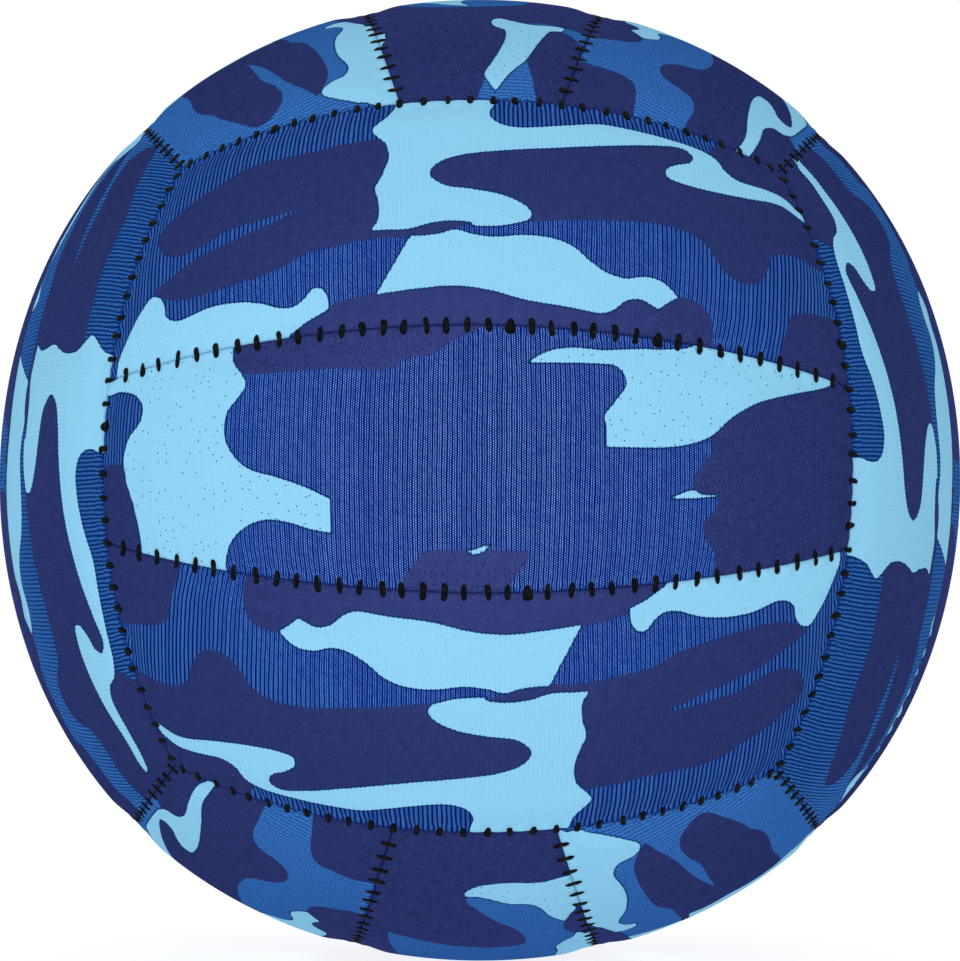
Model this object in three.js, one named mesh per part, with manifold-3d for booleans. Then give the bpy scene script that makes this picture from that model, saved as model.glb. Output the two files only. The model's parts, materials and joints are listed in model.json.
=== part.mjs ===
// A size 5 play ball: eighteen sewn neoprene panels over an air bladder with its valve.
// Millimetres, +Z up, origin at the ball's centre. The front face looks along -Y.
import * as THREE from 'three';
import { mergeVertices } from 'three/addons/utils/BufferGeometryUtils.js';
import Module from 'manifold-3d';

const wasm = await Module();
wasm.setup();

// Overall size and shape
const ballDiameter = 210; // over the middles of two opposite faces: 660 mm round
const cornerBulgeRatio = 0.03; // how far a sewn ball of six faces bulges towards its corners
const ballRadius = ballDiameter / 2;

// Cover panels
const panelThickness = 3;
const seamAllowance = 3.2; // how far a turned-in edge stands inwards past the panel's inner face
const seamGap = 0.3; // between the two turned-in edges of one seam
const grooveDepth = 1.2;
const grooveHalfWidth = 2.4;

// Seam lines, in degrees on the ball
const stripSeamMiddleAngle = 14.5; // from the face's middle line to a strip seam, halfway along it
const stripSeamEndAngle = 8.9; // the same at the seam's ends
const stripSeamBowPower = 1.8;
const edgeSeamPullAngle = 0.7; // how far a face's long side draws an edge seam towards itself

// Thread
const threadDiameter = 1;
const threadClearance = 0.3; // to the panels beside it
const threadEndGap = 2.2; // from the end of a run to the seam that it meets

// Bladder
const bladderWall = 1;
const bladderClearance = 0.5; // to the turned-in edges that it presses on

// Valve, on the back face's middle line
const valveClearance = 0.3; // between the boot and the cover, the bladder and the core
const valveRecess = 0.6; // from the cover's surface down to the valve's face
const coreRadius = 2.4;
const coreHeadLip = 0.8; // the core's head beyond its stem, all round
const coreHeadHeight = 1.2;
const collarWall = 0.7;
const stemWall = 1.9;
const stemLength = 11; // inside the bladder
const flangeWidth = 7.4; // beyond the stem, all round
const boreFloor = 2; // the boot's closed inner end

// Fineness of the faceted surfaces
const weldDistance = 1e-4;
const outerStripSteps = 4;
const middleStripSteps = 4;
const threadSides = 6;
const threadSteps = 12;
const bladderRound = 24;
const bladderRings = 12;
const valveRound = 24;

const radians = THREE.MathUtils.degToRad;
const cornerAngle = Math.atan(Math.SQRT1_2); // from a face's middle plane to the ball's corner

// Each face has its outward normal, the direction that its strips run in, the one across them, and
// the faces that its long sides meet.
const X = new THREE.Vector3(1, 0, 0);
const Y = new THREE.Vector3(0, 1, 0);
const Z = new THREE.Vector3(0, 0, 1);
const minus = (v) => v.clone().negate();
const faces = [
  { name: 'front', normal: minus(Y), along: X, across: Z, beside: ['bottom', 'top'] },
  { name: 'back', normal: Y, along: X, across: Z, beside: ['bottom', 'top'] },
  { name: 'left', normal: minus(X), along: Z, across: Y, beside: ['front', 'back'] },
  { name: 'right', normal: X, along: Z, across: Y, beside: ['front', 'back'] },
  { name: 'bottom', normal: minus(Z), along: Y, across: X, beside: ['left', 'right'] },
  { name: 'top', normal: Z, along: Y, across: X, beside: ['left', 'right'] },
];

const combine = (...terms) => {
  const sum = new THREE.Vector3();
  for (const [vector, amount] of terms) sum.addScaledVector(vector, amount);
  return sum.normalize();
};

// Radius of the cover's outer surface in a direction: a little more towards edges and corners.
function skinRadius(direction) {
  const { x, y, z } = direction;
  return ballRadius * (1 + cornerBulgeRatio * (1 - (x ** 4 + y ** 4 + z ** 4)));
}

const onSkin = (direction, depth) => direction.clone().multiplyScalar(skinRadius(direction) - depth);

// The seam between two faces, at an angle along it from its middle. It belongs to the face whose
// long side it is, and bows a little towards that face.
function edgeSeam(angle, along, owner, other) {
  const share = angle / cornerAngle;
  const turn = Math.PI / 4 - radians(edgeSeamPullAngle) * (1 - share * share);
  const reach = Math.cos(angle);
  return combine(
    [along, Math.sin(angle)],
    [owner, reach * Math.cos(turn)],
    [other, reach * Math.sin(turn)],
  );
}

// The seam between two strips of one face, from -1 at one end to 1 at the other.
function stripSeam(share, face, side) {
  const end = radians(stripSeamEndAngle);
  const bow = radians(stripSeamMiddleAngle) - end;
  const height = end + bow * (1 - Math.abs(share) ** stripSeamBowPower);
  const endShare = end / cornerAngle;
  const turn = share * (Math.PI / 4 + radians(edgeSeamPullAngle) * (1 - endShare * endShare));
  const reach = Math.cos(height);
  return combine(
    [face.along, reach * Math.sin(turn)],
    [face.normal, reach * Math.cos(turn)],
    [face.across, side * Math.sin(height)],
  );
}

// Places along a long side, as shares from -1 to 1. They meet the ends of the three strips there.
function longSideShares() {
  const middle = radians(stripSeamEndAngle) / cornerAngle;
  const shares = [-1];
  const stretch = (from, to, steps) => {
    for (let i = 1; i <= steps; i++) shares.push(from + ((to - from) * i) / steps);
  };
  stretch(-1, -middle, outerStripSteps);
  stretch(-middle, middle, middleStripSteps);
  stretch(middle, 1, outerStripSteps);
  return shares;
}

// The four sides of a strip as lists of directions: two along it, and its near and far ends.
function panelSides(face, strip) {
  const shares = longSideShares();
  const longSide = (side) => shares.map((share) =>
    edgeSeam(share * cornerAngle, face.along, face.normal, face.across.clone().multiplyScalar(side)));
  const stripSide = (side) => shares.map((share) => stripSeam(share, face, side));
  const low = strip === -1 ? longSide(-1) : stripSide(strip === 0 ? -1 : 1);
  const high = strip === 1 ? longSide(1) : stripSide(strip === 0 ? 1 : -1);

  const seamEnd = radians(stripSeamEndAngle);
  const fromTo = [[-cornerAngle, -seamEnd], [-seamEnd, seamEnd], [seamEnd, cornerAngle]][strip + 1];
  const steps = strip === 0 ? middleStripSteps : outerStripSteps;
  const endSide = (side) => {
    const beyond = face.along.clone().multiplyScalar(side);
    const points = [];
    for (let i = 0; i <= steps; i++) {
      const angle = fromTo[0] + ((fromTo[1] - fromTo[0]) * i) / steps;
      points.push(edgeSeam(angle, face.across, beyond, face.normal));
    }
    return points;
  };
  return { low, high, near: endSide(-1), far: endSide(1) };
}

// The sides as one closed loop, and a loop back as four sides.
function loopOf({ low, high, near, far }) {
  const loop = [...low.slice(0, -1), ...far.slice(0, -1), ...[...high].reverse().slice(0, -1)];
  return [...loop, ...[...near].reverse().slice(0, -1)];
}

function sidesOf(loop, longSteps, shortSteps) {
  const at = (from, count, step) =>
    Array.from({ length: count + 1 }, (_, i) => loop[(from + i * step + loop.length) % loop.length]);
  return {
    low: at(0, longSteps, 1),
    far: at(longSteps, shortSteps, 1),
    high: at(2 * longSteps + shortSteps, longSteps, -1),
    near: at(loop.length, shortSteps, -1),
  };
}

// The loop moved inwards over the ball by a distance in millimetres, with mitred corners. The turn
// is 1 for a loop that runs anticlockwise seen from outside, and -1 for one that runs clockwise.
function inset(loop, distance, turn) {
  return loop.map((point, i) => {
    const before = loop[(i + loop.length - 1) % loop.length];
    const after = loop[(i + 1) % loop.length];
    const inward = (from, to) =>
      new THREE.Vector3().crossVectors(point, to.clone().sub(from)).normalize();
    const first = inward(before, point);
    const second = inward(point, after);
    const mitre = first.clone().add(second).multiplyScalar(turn / (1 + first.dot(second)));
    return point.clone().addScaledVector(mitre, distance / ballRadius).normalize();
  });
}

// Directions over the whole patch, blended between its four sides.
function patch({ low, high, near, far }) {
  const longSteps = low.length - 1;
  const shortSteps = near.length - 1;
  return near.map((_, j) => low.map((__, i) => {
    const u = i / longSteps;
    const v = j / shortSteps;
    return combine(
      [low[i], 1 - v], [high[i], v], [near[j], 1 - u], [far[j], u],
      [low[0], -(1 - u) * (1 - v)], [low[longSteps], -u * (1 - v)],
      [high[0], -(1 - u) * v], [high[longSteps], -u * v],
    );
  }));
}

// Triangles of a closed body, gathered quad by quad.
class Shell {
  constructor(turnedOver) {
    this.places = [];
    this.turnedOver = turnedOver;
  }

  quad(a, b, c, d) {
    const order = this.turnedOver ? [a, c, b, a, d, c] : [a, b, c, a, c, d];
    for (const point of order) this.places.push(point.x, point.y, point.z);
  }

  band(inner, outer) {
    inner.forEach((point, i) => {
      const next = (i + 1) % inner.length;
      this.quad(point, outer[i], outer[next], inner[next]);
    });
  }

  surface(rows, facesOut) {
    for (let j = 0; j + 1 < rows.length; j++) {
      for (let i = 0; i + 1 < rows[j].length; i++) {
        const corners = [rows[j][i], rows[j][i + 1], rows[j + 1][i + 1], rows[j + 1][i]];
        this.quad(...(facesOut ? corners : corners.reverse()));
      }
    }
  }

  geometry() {
    const loose = new THREE.BufferGeometry();
    loose.setAttribute('position', new THREE.Float32BufferAttribute(this.places, 3));
    return mergeVertices(loose, weldDistance);
  }
}

// A panel: its crowned outer face rolls down into the seam groove on all four sides, and its edge
// turns in behind the groove, back to back with its neighbour's.
function panelGeometry(face, strip) {
  const sides = panelSides(face, strip);
  const longSteps = sides.low.length - 1;
  const shortSteps = sides.near.length - 1;
  const seamLoop = loopOf(sides);
  const cutDepth = panelThickness + seamAllowance;

  const turn = Math.sign(new THREE.Vector3().crossVectors(face.along, face.across).dot(face.normal));
  const shoulder = inset(seamLoop, grooveHalfWidth, turn);
  const edge = inset(seamLoop, seamGap / 2, turn);
  const fold = inset(seamLoop, seamGap / 2 + panelThickness, turn);
  const at = (loop, depth) => loop.map((direction) => onSkin(direction, depth));
  const overPatch = (loop, depth) =>
    patch(sidesOf(loop, longSteps, shortSteps)).map((row) => at(row, depth));

  const shell = new Shell(turn < 0);
  shell.surface(overPatch(shoulder, 0), true);
  shell.band(at(shoulder, 0), at(edge, grooveDepth));
  shell.band(at(edge, grooveDepth), at(edge, cutDepth));
  shell.band(at(edge, cutDepth), at(fold, cutDepth));
  shell.band(at(fold, cutDepth), at(fold, panelThickness));
  shell.surface(overPatch(fold, panelThickness), false);
  return shell.geometry();
}

// A thread run lies in its groove, clear of both shoulders.
const grooveSlope = Math.atan2(grooveDepth, grooveHalfWidth - seamGap / 2);
const threadSeat = (threadDiameter / 2 + threadClearance - (seamGap / 2) * Math.sin(grooveSlope))
  / Math.cos(grooveSlope);
const threadDepth = grooveDepth - threadSeat;

class SeamLine extends THREE.Curve {
  constructor(directionAt) {
    super();
    this.directionAt = directionAt;
  }

  getPoint(t, target = new THREE.Vector3()) {
    return target.copy(onSkin(this.directionAt(t), threadDepth));
  }
}

function threadGeometry(directionAt) {
  const whole = new SeamLine(directionAt);
  const trim = threadEndGap / whole.getLength();
  const run = new SeamLine((t) => directionAt(trim + (1 - 2 * trim) * t));
  const section = new THREE.Shape();
  section.absarc(0, 0, threadDiameter / 2, 0, 2 * Math.PI);
  return new THREE.ExtrudeGeometry(section, {
    steps: threadSteps,
    curveSegments: threadSides / 2,
    extrudePath: run,
    bevelEnabled: false,
  });
}

// Valve radii, from the core outwards
const coreHeadRadius = coreRadius + coreHeadLip;
const bore = coreRadius + valveClearance;
const headBore = coreHeadRadius + valveClearance;
const collarRadius = headBore + collarWall;
const stemRadius = bore + stemWall;
const flangeRadius = stemRadius + flangeWidth;

// The bladder: a hollow body of revolution about the valve's axis, with its one opening there,
// drawn out like the cover to press on the turned-in edges.
const coverDepth = panelThickness + seamAllowance; // to the inner ends of the turned-in edges
const bladderRadius = ballRadius - coverDepth - bladderClearance;

function bladderGeometry() {
  const opening = stemRadius + valveClearance;
  const profile = [];
  // From the far pole to the opening's rim, or back again
  const arc = (radius, toOpening) => {
    const mouth = Math.asin(opening / radius);
    for (let i = 0; i <= bladderRings; i++) {
      const fromPole = toOpening ? i : bladderRings - i;
      const angle = Math.PI - ((Math.PI - mouth) * fromPole) / bladderRings;
      const reach = fromPole === 0 ? 0 : radius * Math.sin(angle);
      profile.push(new THREE.Vector2(reach, radius * Math.cos(angle)));
    }
  };
  arc(bladderRadius, true);
  arc(bladderRadius - bladderWall, false);
  const geometry = new THREE.LatheGeometry(profile, bladderRound);
  const places = geometry.attributes.position;
  const point = new THREE.Vector3();
  for (let i = 0; i < places.count; i++) {
    point.fromBufferAttribute(places, i);
    const radius = point.length();
    const direction = point.clone().normalize();
    point.copy(direction).multiplyScalar(radius + skinRadius(direction) - ballRadius);
    places.setXYZ(i, point.x, point.y, point.z);
  }
  return geometry;
}

// The valve: heights are distances from the ball's centre along its axis.
const valveFace = ballRadius - valveRecess;
const flangeTop = ballRadius - panelThickness - valveClearance;
const flangeUnder = bladderRadius + valveClearance;
const stemEnd = bladderRadius - bladderWall - stemLength;
const coreSeat = valveFace - coreHeadHeight;

const round = (points) => {
  const profile = points.map(([radius, height]) => new THREE.Vector2(radius, height));
  return new THREE.LatheGeometry(profile, valveRound);
};

// Height at a radius of a dome about the ball's centre
const domeAt = (domeRadius, radius) => Math.sqrt(domeRadius * domeRadius - radius * radius);

function valveSeatGeometry() {
  const middle = (flangeRadius + stemRadius) / 2;
  return round([
    [0, stemEnd],
    [stemRadius, stemEnd],
    [stemRadius, domeAt(flangeUnder, stemRadius)],
    [middle, domeAt(flangeUnder, middle)],
    [flangeRadius, domeAt(flangeUnder, flangeRadius)],
    [flangeRadius, domeAt(flangeTop, flangeRadius)],
    [middle, domeAt(flangeTop, middle)],
    [collarRadius, domeAt(flangeTop, collarRadius)],
    [collarRadius, valveFace],
    [headBore, valveFace],
    [headBore, coreSeat - valveClearance],
    [bore, coreSeat - valveClearance],
    [bore, stemEnd + boreFloor],
    [0, stemEnd + boreFloor],
  ]);
}

function valveCoreGeometry() {
  return round([
    [0, stemEnd + boreFloor + valveClearance],
    [coreRadius, stemEnd + boreFloor + valveClearance],
    [coreRadius, coreSeat],
    [coreHeadRadius, coreSeat],
    [coreHeadRadius, valveFace],
    [0, valveFace],
  ]);
}

// Booleans on closed meshes
function solid(geometry) {
  const bare = new THREE.BufferGeometry();
  bare.setAttribute('position', geometry.getAttribute('position').clone());
  if (geometry.index) bare.setIndex(geometry.index.clone());
  const merged = mergeVertices(bare, weldDistance);
  return new wasm.Manifold(new wasm.Mesh({
    numProp: 3,
    vertProperties: new Float32Array(merged.attributes.position.array),
    triVerts: new Uint32Array(merged.index.array),
  }));
}

function fromSolid(body) {
  const mesh = body.getMesh();
  const geometry = new THREE.BufferGeometry();
  geometry.setAttribute('position', new THREE.BufferAttribute(mesh.vertProperties, 3));
  geometry.setIndex(new THREE.BufferAttribute(mesh.triVerts, 1));
  return geometry;
}

// The valve's hole through a panel, and the shallow seat that the boot's flange presses into it
function withValveHole(geometry) {
  const depth = 2 * (panelThickness + seamAllowance);
  const drill = new THREE.CylinderGeometry(
    collarRadius + valveClearance, collarRadius + valveClearance, 2 * depth, valveRound,
  );
  drill.translate(0, ballRadius, 0);
  const reach = flangeRadius + valveClearance;
  const crown = flangeTop + valveClearance;
  const seat = round([
    [0, bladderRadius],
    [reach, bladderRadius],
    [reach, domeAt(crown, reach)],
    [reach / 2, domeAt(crown, reach / 2)],
    [0, crown],
  ]);
  return fromSolid(solid(geometry).subtract(solid(drill)).subtract(solid(seat)));
}

// Materials
const printedKnit = new THREE.MeshStandardMaterial({ color: 0x2a57a6, roughness: 0.85, metalness: 0 });
const blackThread = new THREE.MeshStandardMaterial({ color: 0x0b0c10, roughness: 0.6, metalness: 0 });
const bladderRubber = new THREE.MeshStandardMaterial({ color: 0x1d1d1f, roughness: 0.7, metalness: 0 });
const valveRubber = new THREE.MeshStandardMaterial({ color: 0x121214, roughness: 0.5, metalness: 0 });

const ball = new THREE.Group();

// What the strip on one side of a face, or in its middle, is called
const stripWord = (face, side) => {
  if (side === 0) return 'middle';
  const word = face.beside[side < 0 ? 0 : 1];
  return face.across === Z ? { bottom: 'lower', top: 'upper' }[word] : word;
};

function addPiece(group, name, geometry, material) {
  const mesh = new THREE.Mesh(geometry, material);
  mesh.name = name;
  group.add(mesh);
}

const cover = new THREE.Group();
for (const face of faces) {
  for (const strip of [-1, 0, 1]) {
    const whole = panelGeometry(face, strip);
    const geometry = face.name === 'back' && strip === 0 ? withValveHole(whole) : whole;
    addPiece(cover, `${face.name}_${stripWord(face, strip)}_panel`, geometry, printedKnit);
  }
}
ball.add(cover);

const seams = new THREE.Group();
for (const face of faces) {
  for (const side of [-1, 1]) {
    const beyond = face.across.clone().multiplyScalar(side);
    const edgeLine = (t) => edgeSeam((2 * t - 1) * cornerAngle, face.along, face.normal, beyond);
    const stripLine = (t) => stripSeam(2 * t - 1, face, side);
    const neighbour = face.beside[side < 0 ? 0 : 1];
    const strip = stripWord(face, side);
    addPiece(seams, `${face.name}_${neighbour}_seam_thread`, threadGeometry(edgeLine), blackThread);
    addPiece(seams, `${face.name}_${strip}_strip_thread`, threadGeometry(stripLine), blackThread);
  }
}
ball.add(seams);

const inside = new THREE.Group();
addPiece(inside, 'bladder', bladderGeometry(), bladderRubber);
addPiece(inside, 'valve_seat', valveSeatGeometry(), valveRubber);
addPiece(inside, 'valve_core', valveCoreGeometry(), valveRubber);
ball.add(inside);

export default ball;
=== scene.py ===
"""The looks of a sewn neoprene play ball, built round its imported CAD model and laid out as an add-on."""

import json
import math

import bpy
import numpy as np
from mathutils import Matrix

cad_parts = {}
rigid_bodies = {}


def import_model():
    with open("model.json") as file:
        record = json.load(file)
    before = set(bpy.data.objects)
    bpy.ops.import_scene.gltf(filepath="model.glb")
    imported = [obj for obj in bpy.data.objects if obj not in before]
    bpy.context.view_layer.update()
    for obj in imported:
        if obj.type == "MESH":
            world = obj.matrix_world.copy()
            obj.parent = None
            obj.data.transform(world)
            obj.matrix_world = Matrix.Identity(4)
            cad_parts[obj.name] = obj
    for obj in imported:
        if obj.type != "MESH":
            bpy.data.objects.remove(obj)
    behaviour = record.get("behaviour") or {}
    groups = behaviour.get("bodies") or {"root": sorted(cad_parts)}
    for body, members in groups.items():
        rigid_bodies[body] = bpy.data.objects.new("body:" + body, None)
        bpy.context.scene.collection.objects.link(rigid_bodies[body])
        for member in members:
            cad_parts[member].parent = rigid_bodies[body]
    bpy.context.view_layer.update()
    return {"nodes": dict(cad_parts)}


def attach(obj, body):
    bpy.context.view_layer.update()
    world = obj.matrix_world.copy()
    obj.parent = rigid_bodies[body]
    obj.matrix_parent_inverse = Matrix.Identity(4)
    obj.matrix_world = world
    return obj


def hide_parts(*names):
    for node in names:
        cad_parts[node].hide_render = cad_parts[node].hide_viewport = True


bl_info = {
    "name": "Neoprene Play Ball",
    "version": (1, 0, 0),
    "blender": (4, 5, 0),
    "location": "3D View > Sidebar > Play Ball",
    "description": "Builds the knit cover, the seam stitches and the valve of a sewn play ball",
    "category": "Add Mesh",
}

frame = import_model()

MM = 0.001
BODY = "root"

# The CAD model's own shape, repeated from its source.
BALL_RADIUS = 105 * MM
CORNER_BULGE = 0.03
PANEL_THICKNESS = 3 * MM
SEAM_ALLOWANCE = 3.2 * MM
CORNER_ANGLE = math.atan(math.sqrt(0.5))
EDGE_SEAM_PULL = math.radians(0.7)
STRIP_SEAM_MIDDLE = math.radians(14.5)
STRIP_SEAM_END = math.radians(8.9)
STRIP_SEAM_BOW = 1.8
VALVE_HOLE_RADIUS = 4.5 * MM

# The valve's sizes in millimetres, as in the CAD. The flange's top and underside are depths below the
# ball's skin, and the stem's end is a height above the ball's middle.
VALVE_RECESS = 0.6
VALVE_CLEARANCE = 0.3
CORE_RADIUS, CORE_HEAD_RADIUS, CORE_HEAD_HEIGHT = 2.4, 3.2, 1.2
STEM_RADIUS, STEM_END, BORE_FLOOR = 4.6, 86.3, 2
COLLAR_RADIUS = 4.2
FLANGE_RADIUS, FLANGE_TOP, FLANGE_UNDER = 12, 3.3, 6.4
DIMPLE_RADIUS, DIMPLE_FLOOR_RADIUS, DIMPLE_DEPTH = 1.4, 0.5, 0.8
NEEDLE_RADIUS, NEEDLE_DEPTH = 0.4, 7

X, Y, Z = np.eye(3)
# Each face's outward normal, the way its strips run, the way across them, its neighbours on the low
# and high side, and the words for its three strips. Along, across and outward are right-handed.
FACES = {
    "front": (-Y, X, Z, ("bottom", "top"), ("lower", "middle", "upper")),
    "back": (Y, -X, Z, ("bottom", "top"), ("lower", "middle", "upper")),
    "left": (-X, Z, Y, ("front", "back"), ("front", "middle", "back")),
    "right": (X, -Z, Y, ("front", "back"), ("front", "middle", "back")),
    "bottom": (-Z, Y, X, ("left", "right"), ("left", "middle", "right")),
    "top": (Z, -Y, X, ("left", "right"), ("left", "middle", "right")),
}

# The print's colours on a panel, in millimetres along it and across it from its middle. A third
# value marks a corner, and the outline runs smoothly through the other points.
OUTER_LIGHT = [
    # arm that comes down from the long edge and reaches right
    [(-17, 36, 1), (-17.8, 30, 1), (-18.9, 27), (-20.4, 25.2), (-21.9, 22.9), (-20.7, 21), (-18.7, 18.5),
     (-18.2, 14.5), (-19.4, 10.3), (-20.5, 7.7), (-19.8, 4), (-19.7, 0.6), (-21.1, -2.1, 1),
     (-18.5, -2.2), (-14, -2.4), (-9, -1.2), (-4.5, -1), (-0.8, -1.5, 1), (-1.4, -2), (4, -2.1),
     (7.5, -1.3), (9.6, -0.5), (10.1, 0.8), (9.2, 2.4), (5, 4.7), (-0.7, 6.1), (-7.3, 7.5), (-9.9, 10.3),
     (-8.2, 13), (-3.5, 14.9), (4, 16), (14.7, 17.4), (28, 20), (36, 21.8), (42.3, 22.6), (44.3, 21),
     (43.6, 19.1), (40.3, 17.5), (38, 15.6), (38.2, 13.9), (41.5, 13), (48, 12.9), (56, 13.8), (64, 15.2),
     (72, 14.4, 1), (71, 16, 1), (67.5, 17.6), (61, 17.9), (54.5, 17.7), (51.5, 19.2), (49.8, 21.8),
     (46.5, 23.5), (40, 24.5), (31, 25.3), (25, 25.5), (18.7, 24.1), (12, 22.8), (6.7, 22.5), (3.2, 23.9),
     (1.9, 26.5), (2.8, 29.8, 1), (3, 36, 1)],
    # leaf below the middle
    [(-13.4, -4.1, 1), (-10.5, -4.2), (-7, -3.7), (-4.8, -3.1), (-1, -4.2), (3, -4.7), (9, -4.1),
     (14.5, -4.5), (18.5, -6), (22, -8.9), (25.5, -10.9), (29, -11.5), (32.5, -10.6), (35.5, -10.6),
     (38, -11.8), (39.9, -13.5, 1), (37.8, -15.1), (36, -16.7, 1), (34.5, -16), (32, -15.3), (29.4, -16),
     (26.8, -18.2), (24.5, -19.1), (18, -18.6), (9, -17.7), (2, -16), (-4.7, -15.1), (-12, -15.4),
     (-20.2, -16, 1), (-18.7, -13.5), (-16, -8.8)],
    # hill that stands on the other long edge
    [(-90, -28, 1), (-81.2, -17.6, 1), (-80, -15), (-77.3, -12), (-73, -7.7), (-69.8, -5.4),
     (-67.7, -6.3), (-66.7, -8.2), (-66.2, -11), (-63.5, -12.7), (-56, -12.2), (-50, -12.7),
     (-44.5, -14.1), (-40.5, -15.9), (-37.5, -16.3), (-35, -15.1), (-33, -13.2), (-31.3, -13.6),
     (-30.3, -15.4), (-30.2, -17.9, 1), (-34, -19.2), (-37.6, -20.9), (-40.5, -23, 1), (-50, -30, 1)],
]
OUTER_DARK = [
    # two tongues from the left, the second of which runs on between the light shapes
    [(-14, 20, 1), (-20.5, 20.3), (-27, 20), (-35, 19.1), (-45, 19.1), (-50.5, 18.1), (-53.5, 16.6),
     (-59.5, 14.6), (-65, 11.8), (-68.6, 9.3), (-68.7, 6.6), (-66.5, 3.2), (-63, 1.8), (-57.5, 2.3),
     (-52.5, 3.9), (-45, 4.5), (-36, 5, 1), (-27, 6.7), (-14, 8.6, 1)],
    [(-14, 8.4, 1), (-27, 6.5), (-36, 4.8), (-44, 2.7), (-52, 1), (-59, -0.4), (-65, -2.7),
     (-69.7, -4.3, 1), (-66.5, -6.7), (-63, -8.3), (-57, -8.9), (-47, -8.5), (-39.5, -7.4), (-34.5, -5.3),
     (-28, -4.7), (-20, -4), (-10, -4.4), (-3.8, -2.4), (-0.6, -1.4, 1), (-6, 2, 1)],
    # field that fills the right half
    [(-14, 8, 1), (9, -0.7), (17, -0.1), (25, 0.8), (34, 1.8), (41.5, 1.4), (45.5, -0.2), (48.3, -3.7),
     (51, -6.1), (54.3, -6.9), (57.8, -5.7), (59.7, -2.5), (61, 1.2), (64.5, 3.2), (71, 3.4),
     (80, 3.6, 1), (72, 36, 1), (54, 34, 1), (51.3, 27.5), (47.5, 22.6, 1), (36, 23.2), (15, 19),
     (-14, 17, 1)],
    # corner on the right
    [(64, -26, 1), (64, -20.5), (64.8, -15), (65.6, -10.8), (68, -9.1), (73.5, -7.5), (81, -5.7),
     (92, -4, 1), (92, -28, 1)],
    # band along the edge
    [(-42, -30, 1), (-42, -22, 1), (-37.6, -20.5), (-30.2, -17.3), (-20, -15.6), (-5, -14), (20, -17),
     (30, -14), (40, -13.4), (43.7, -13.5), (46.5, -15.2), (48, -18), (48.3, -21.3), (47.8, -26),
     (48, -30, 1)],
]
FRONT_LIGHT = [
    # wide shape near the left end
    [(-90, 16, 1), (-83.2, 13.4), (-79, 13.9), (-74, 12.9), (-71.7, 10.6), (-72.1, 7.6), (-75, 4.4),
     (-76.3, 0.6), (-75.7, -3.7), (-73.6, -9.3), (-73, -13.5), (-73.4, -18.5), (-74, -25, 1),
     (-52, -25, 1), (-52.3, -20.8), (-50.8, -17), (-47.6, -13.8), (-43, -12), (-38.3, -12.3),
     (-33, -13.8), (-28.8, -14.6, 1), (-28.9, -8.1, 1), (-34, -5.8), (-40, -3.8), (-45.5, -2.3),
     (-49, 0.2), (-51.3, 4.2), (-51, 8.9), (-48.4, 12.3), (-47.2, 14.4), (-48.4, 16.5), (-50.6, 18.8),
     (-51.4, 22), (-51.2, 30, 1), (-90, 30, 1)],
    # wing at the right
    [(10.1, 18.8, 1), (12.3, 20.3), (15.5, 21.5), (19.5, 21.9), (25, 21.5), (32, 21.9), (40, 22.1),
     (44.5, 22.9), (47, 26, 1), (80, 24, 1), (80.5, 17.2, 1), (75.5, 15.7), (65.5, 13.8), (57.5, 11.8),
     (51.5, 8.7), (47.2, 5.2), (43.8, 3.8), (38, 2.7), (25.4, 2.5, 1), (25.3, 6.8), (25, 8.3),
     (27.2, 11.3), (29.5, 14.6), (29.1, 16.9), (27.3, 18.4), (24, 18.8)],
    # two slivers
    [(38.7, -7.2, 1), (41.5, -6.1), (43.4, -5.7), (44.9, -6.4), (48.5, -6.6, 1), (44.5, -7), (41, -7.2)],
    [(-1.7, -18.2, 1), (0, -17.8), (1.2, -17.2), (2.5, -17, 1), (1.5, -18.1), (0.2, -18.6), (-1.2, -18.6)],
]
FRONT_DARK = [
    [(-90, -1, 1), (-79, -0.8), (-70, -0.5, 1), (-68, -26, 1), (-90, -26, 1)],
    [(-55, 32, 1), (-55, 17, 1), (-45, 16.5), (-36, 17), (-29, 17.4), (-17, 17.4), (-14.3, 19.4),
     (-8.7, 20.4), (-6.2, 22.3), (-3.3, 24.1), (0.7, 26), (4, 32, 1)],
    [(44, 6, 1), (46.9, 4.9), (46.9, 1.5), (45.4, -0.5), (43.3, -3), (43.4, -6), (48.5, -6.9), (48.2, -9),
     (45.8, -11.8), (46.2, -14.7), (48.7, -17.7), (49.6, -21.5), (49.5, -30, 1), (92, -30, 1),
     (92, 20, 1), (78, 19, 1), (60, 15, 1)],
    [(-16, -31, 1), (-14.3, -23.7), (-10.1, -18, 1), (10.3, -18, 1), (10.2, -19.8), (6.8, -25),
     (6.5, -31, 1)],
]
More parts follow.
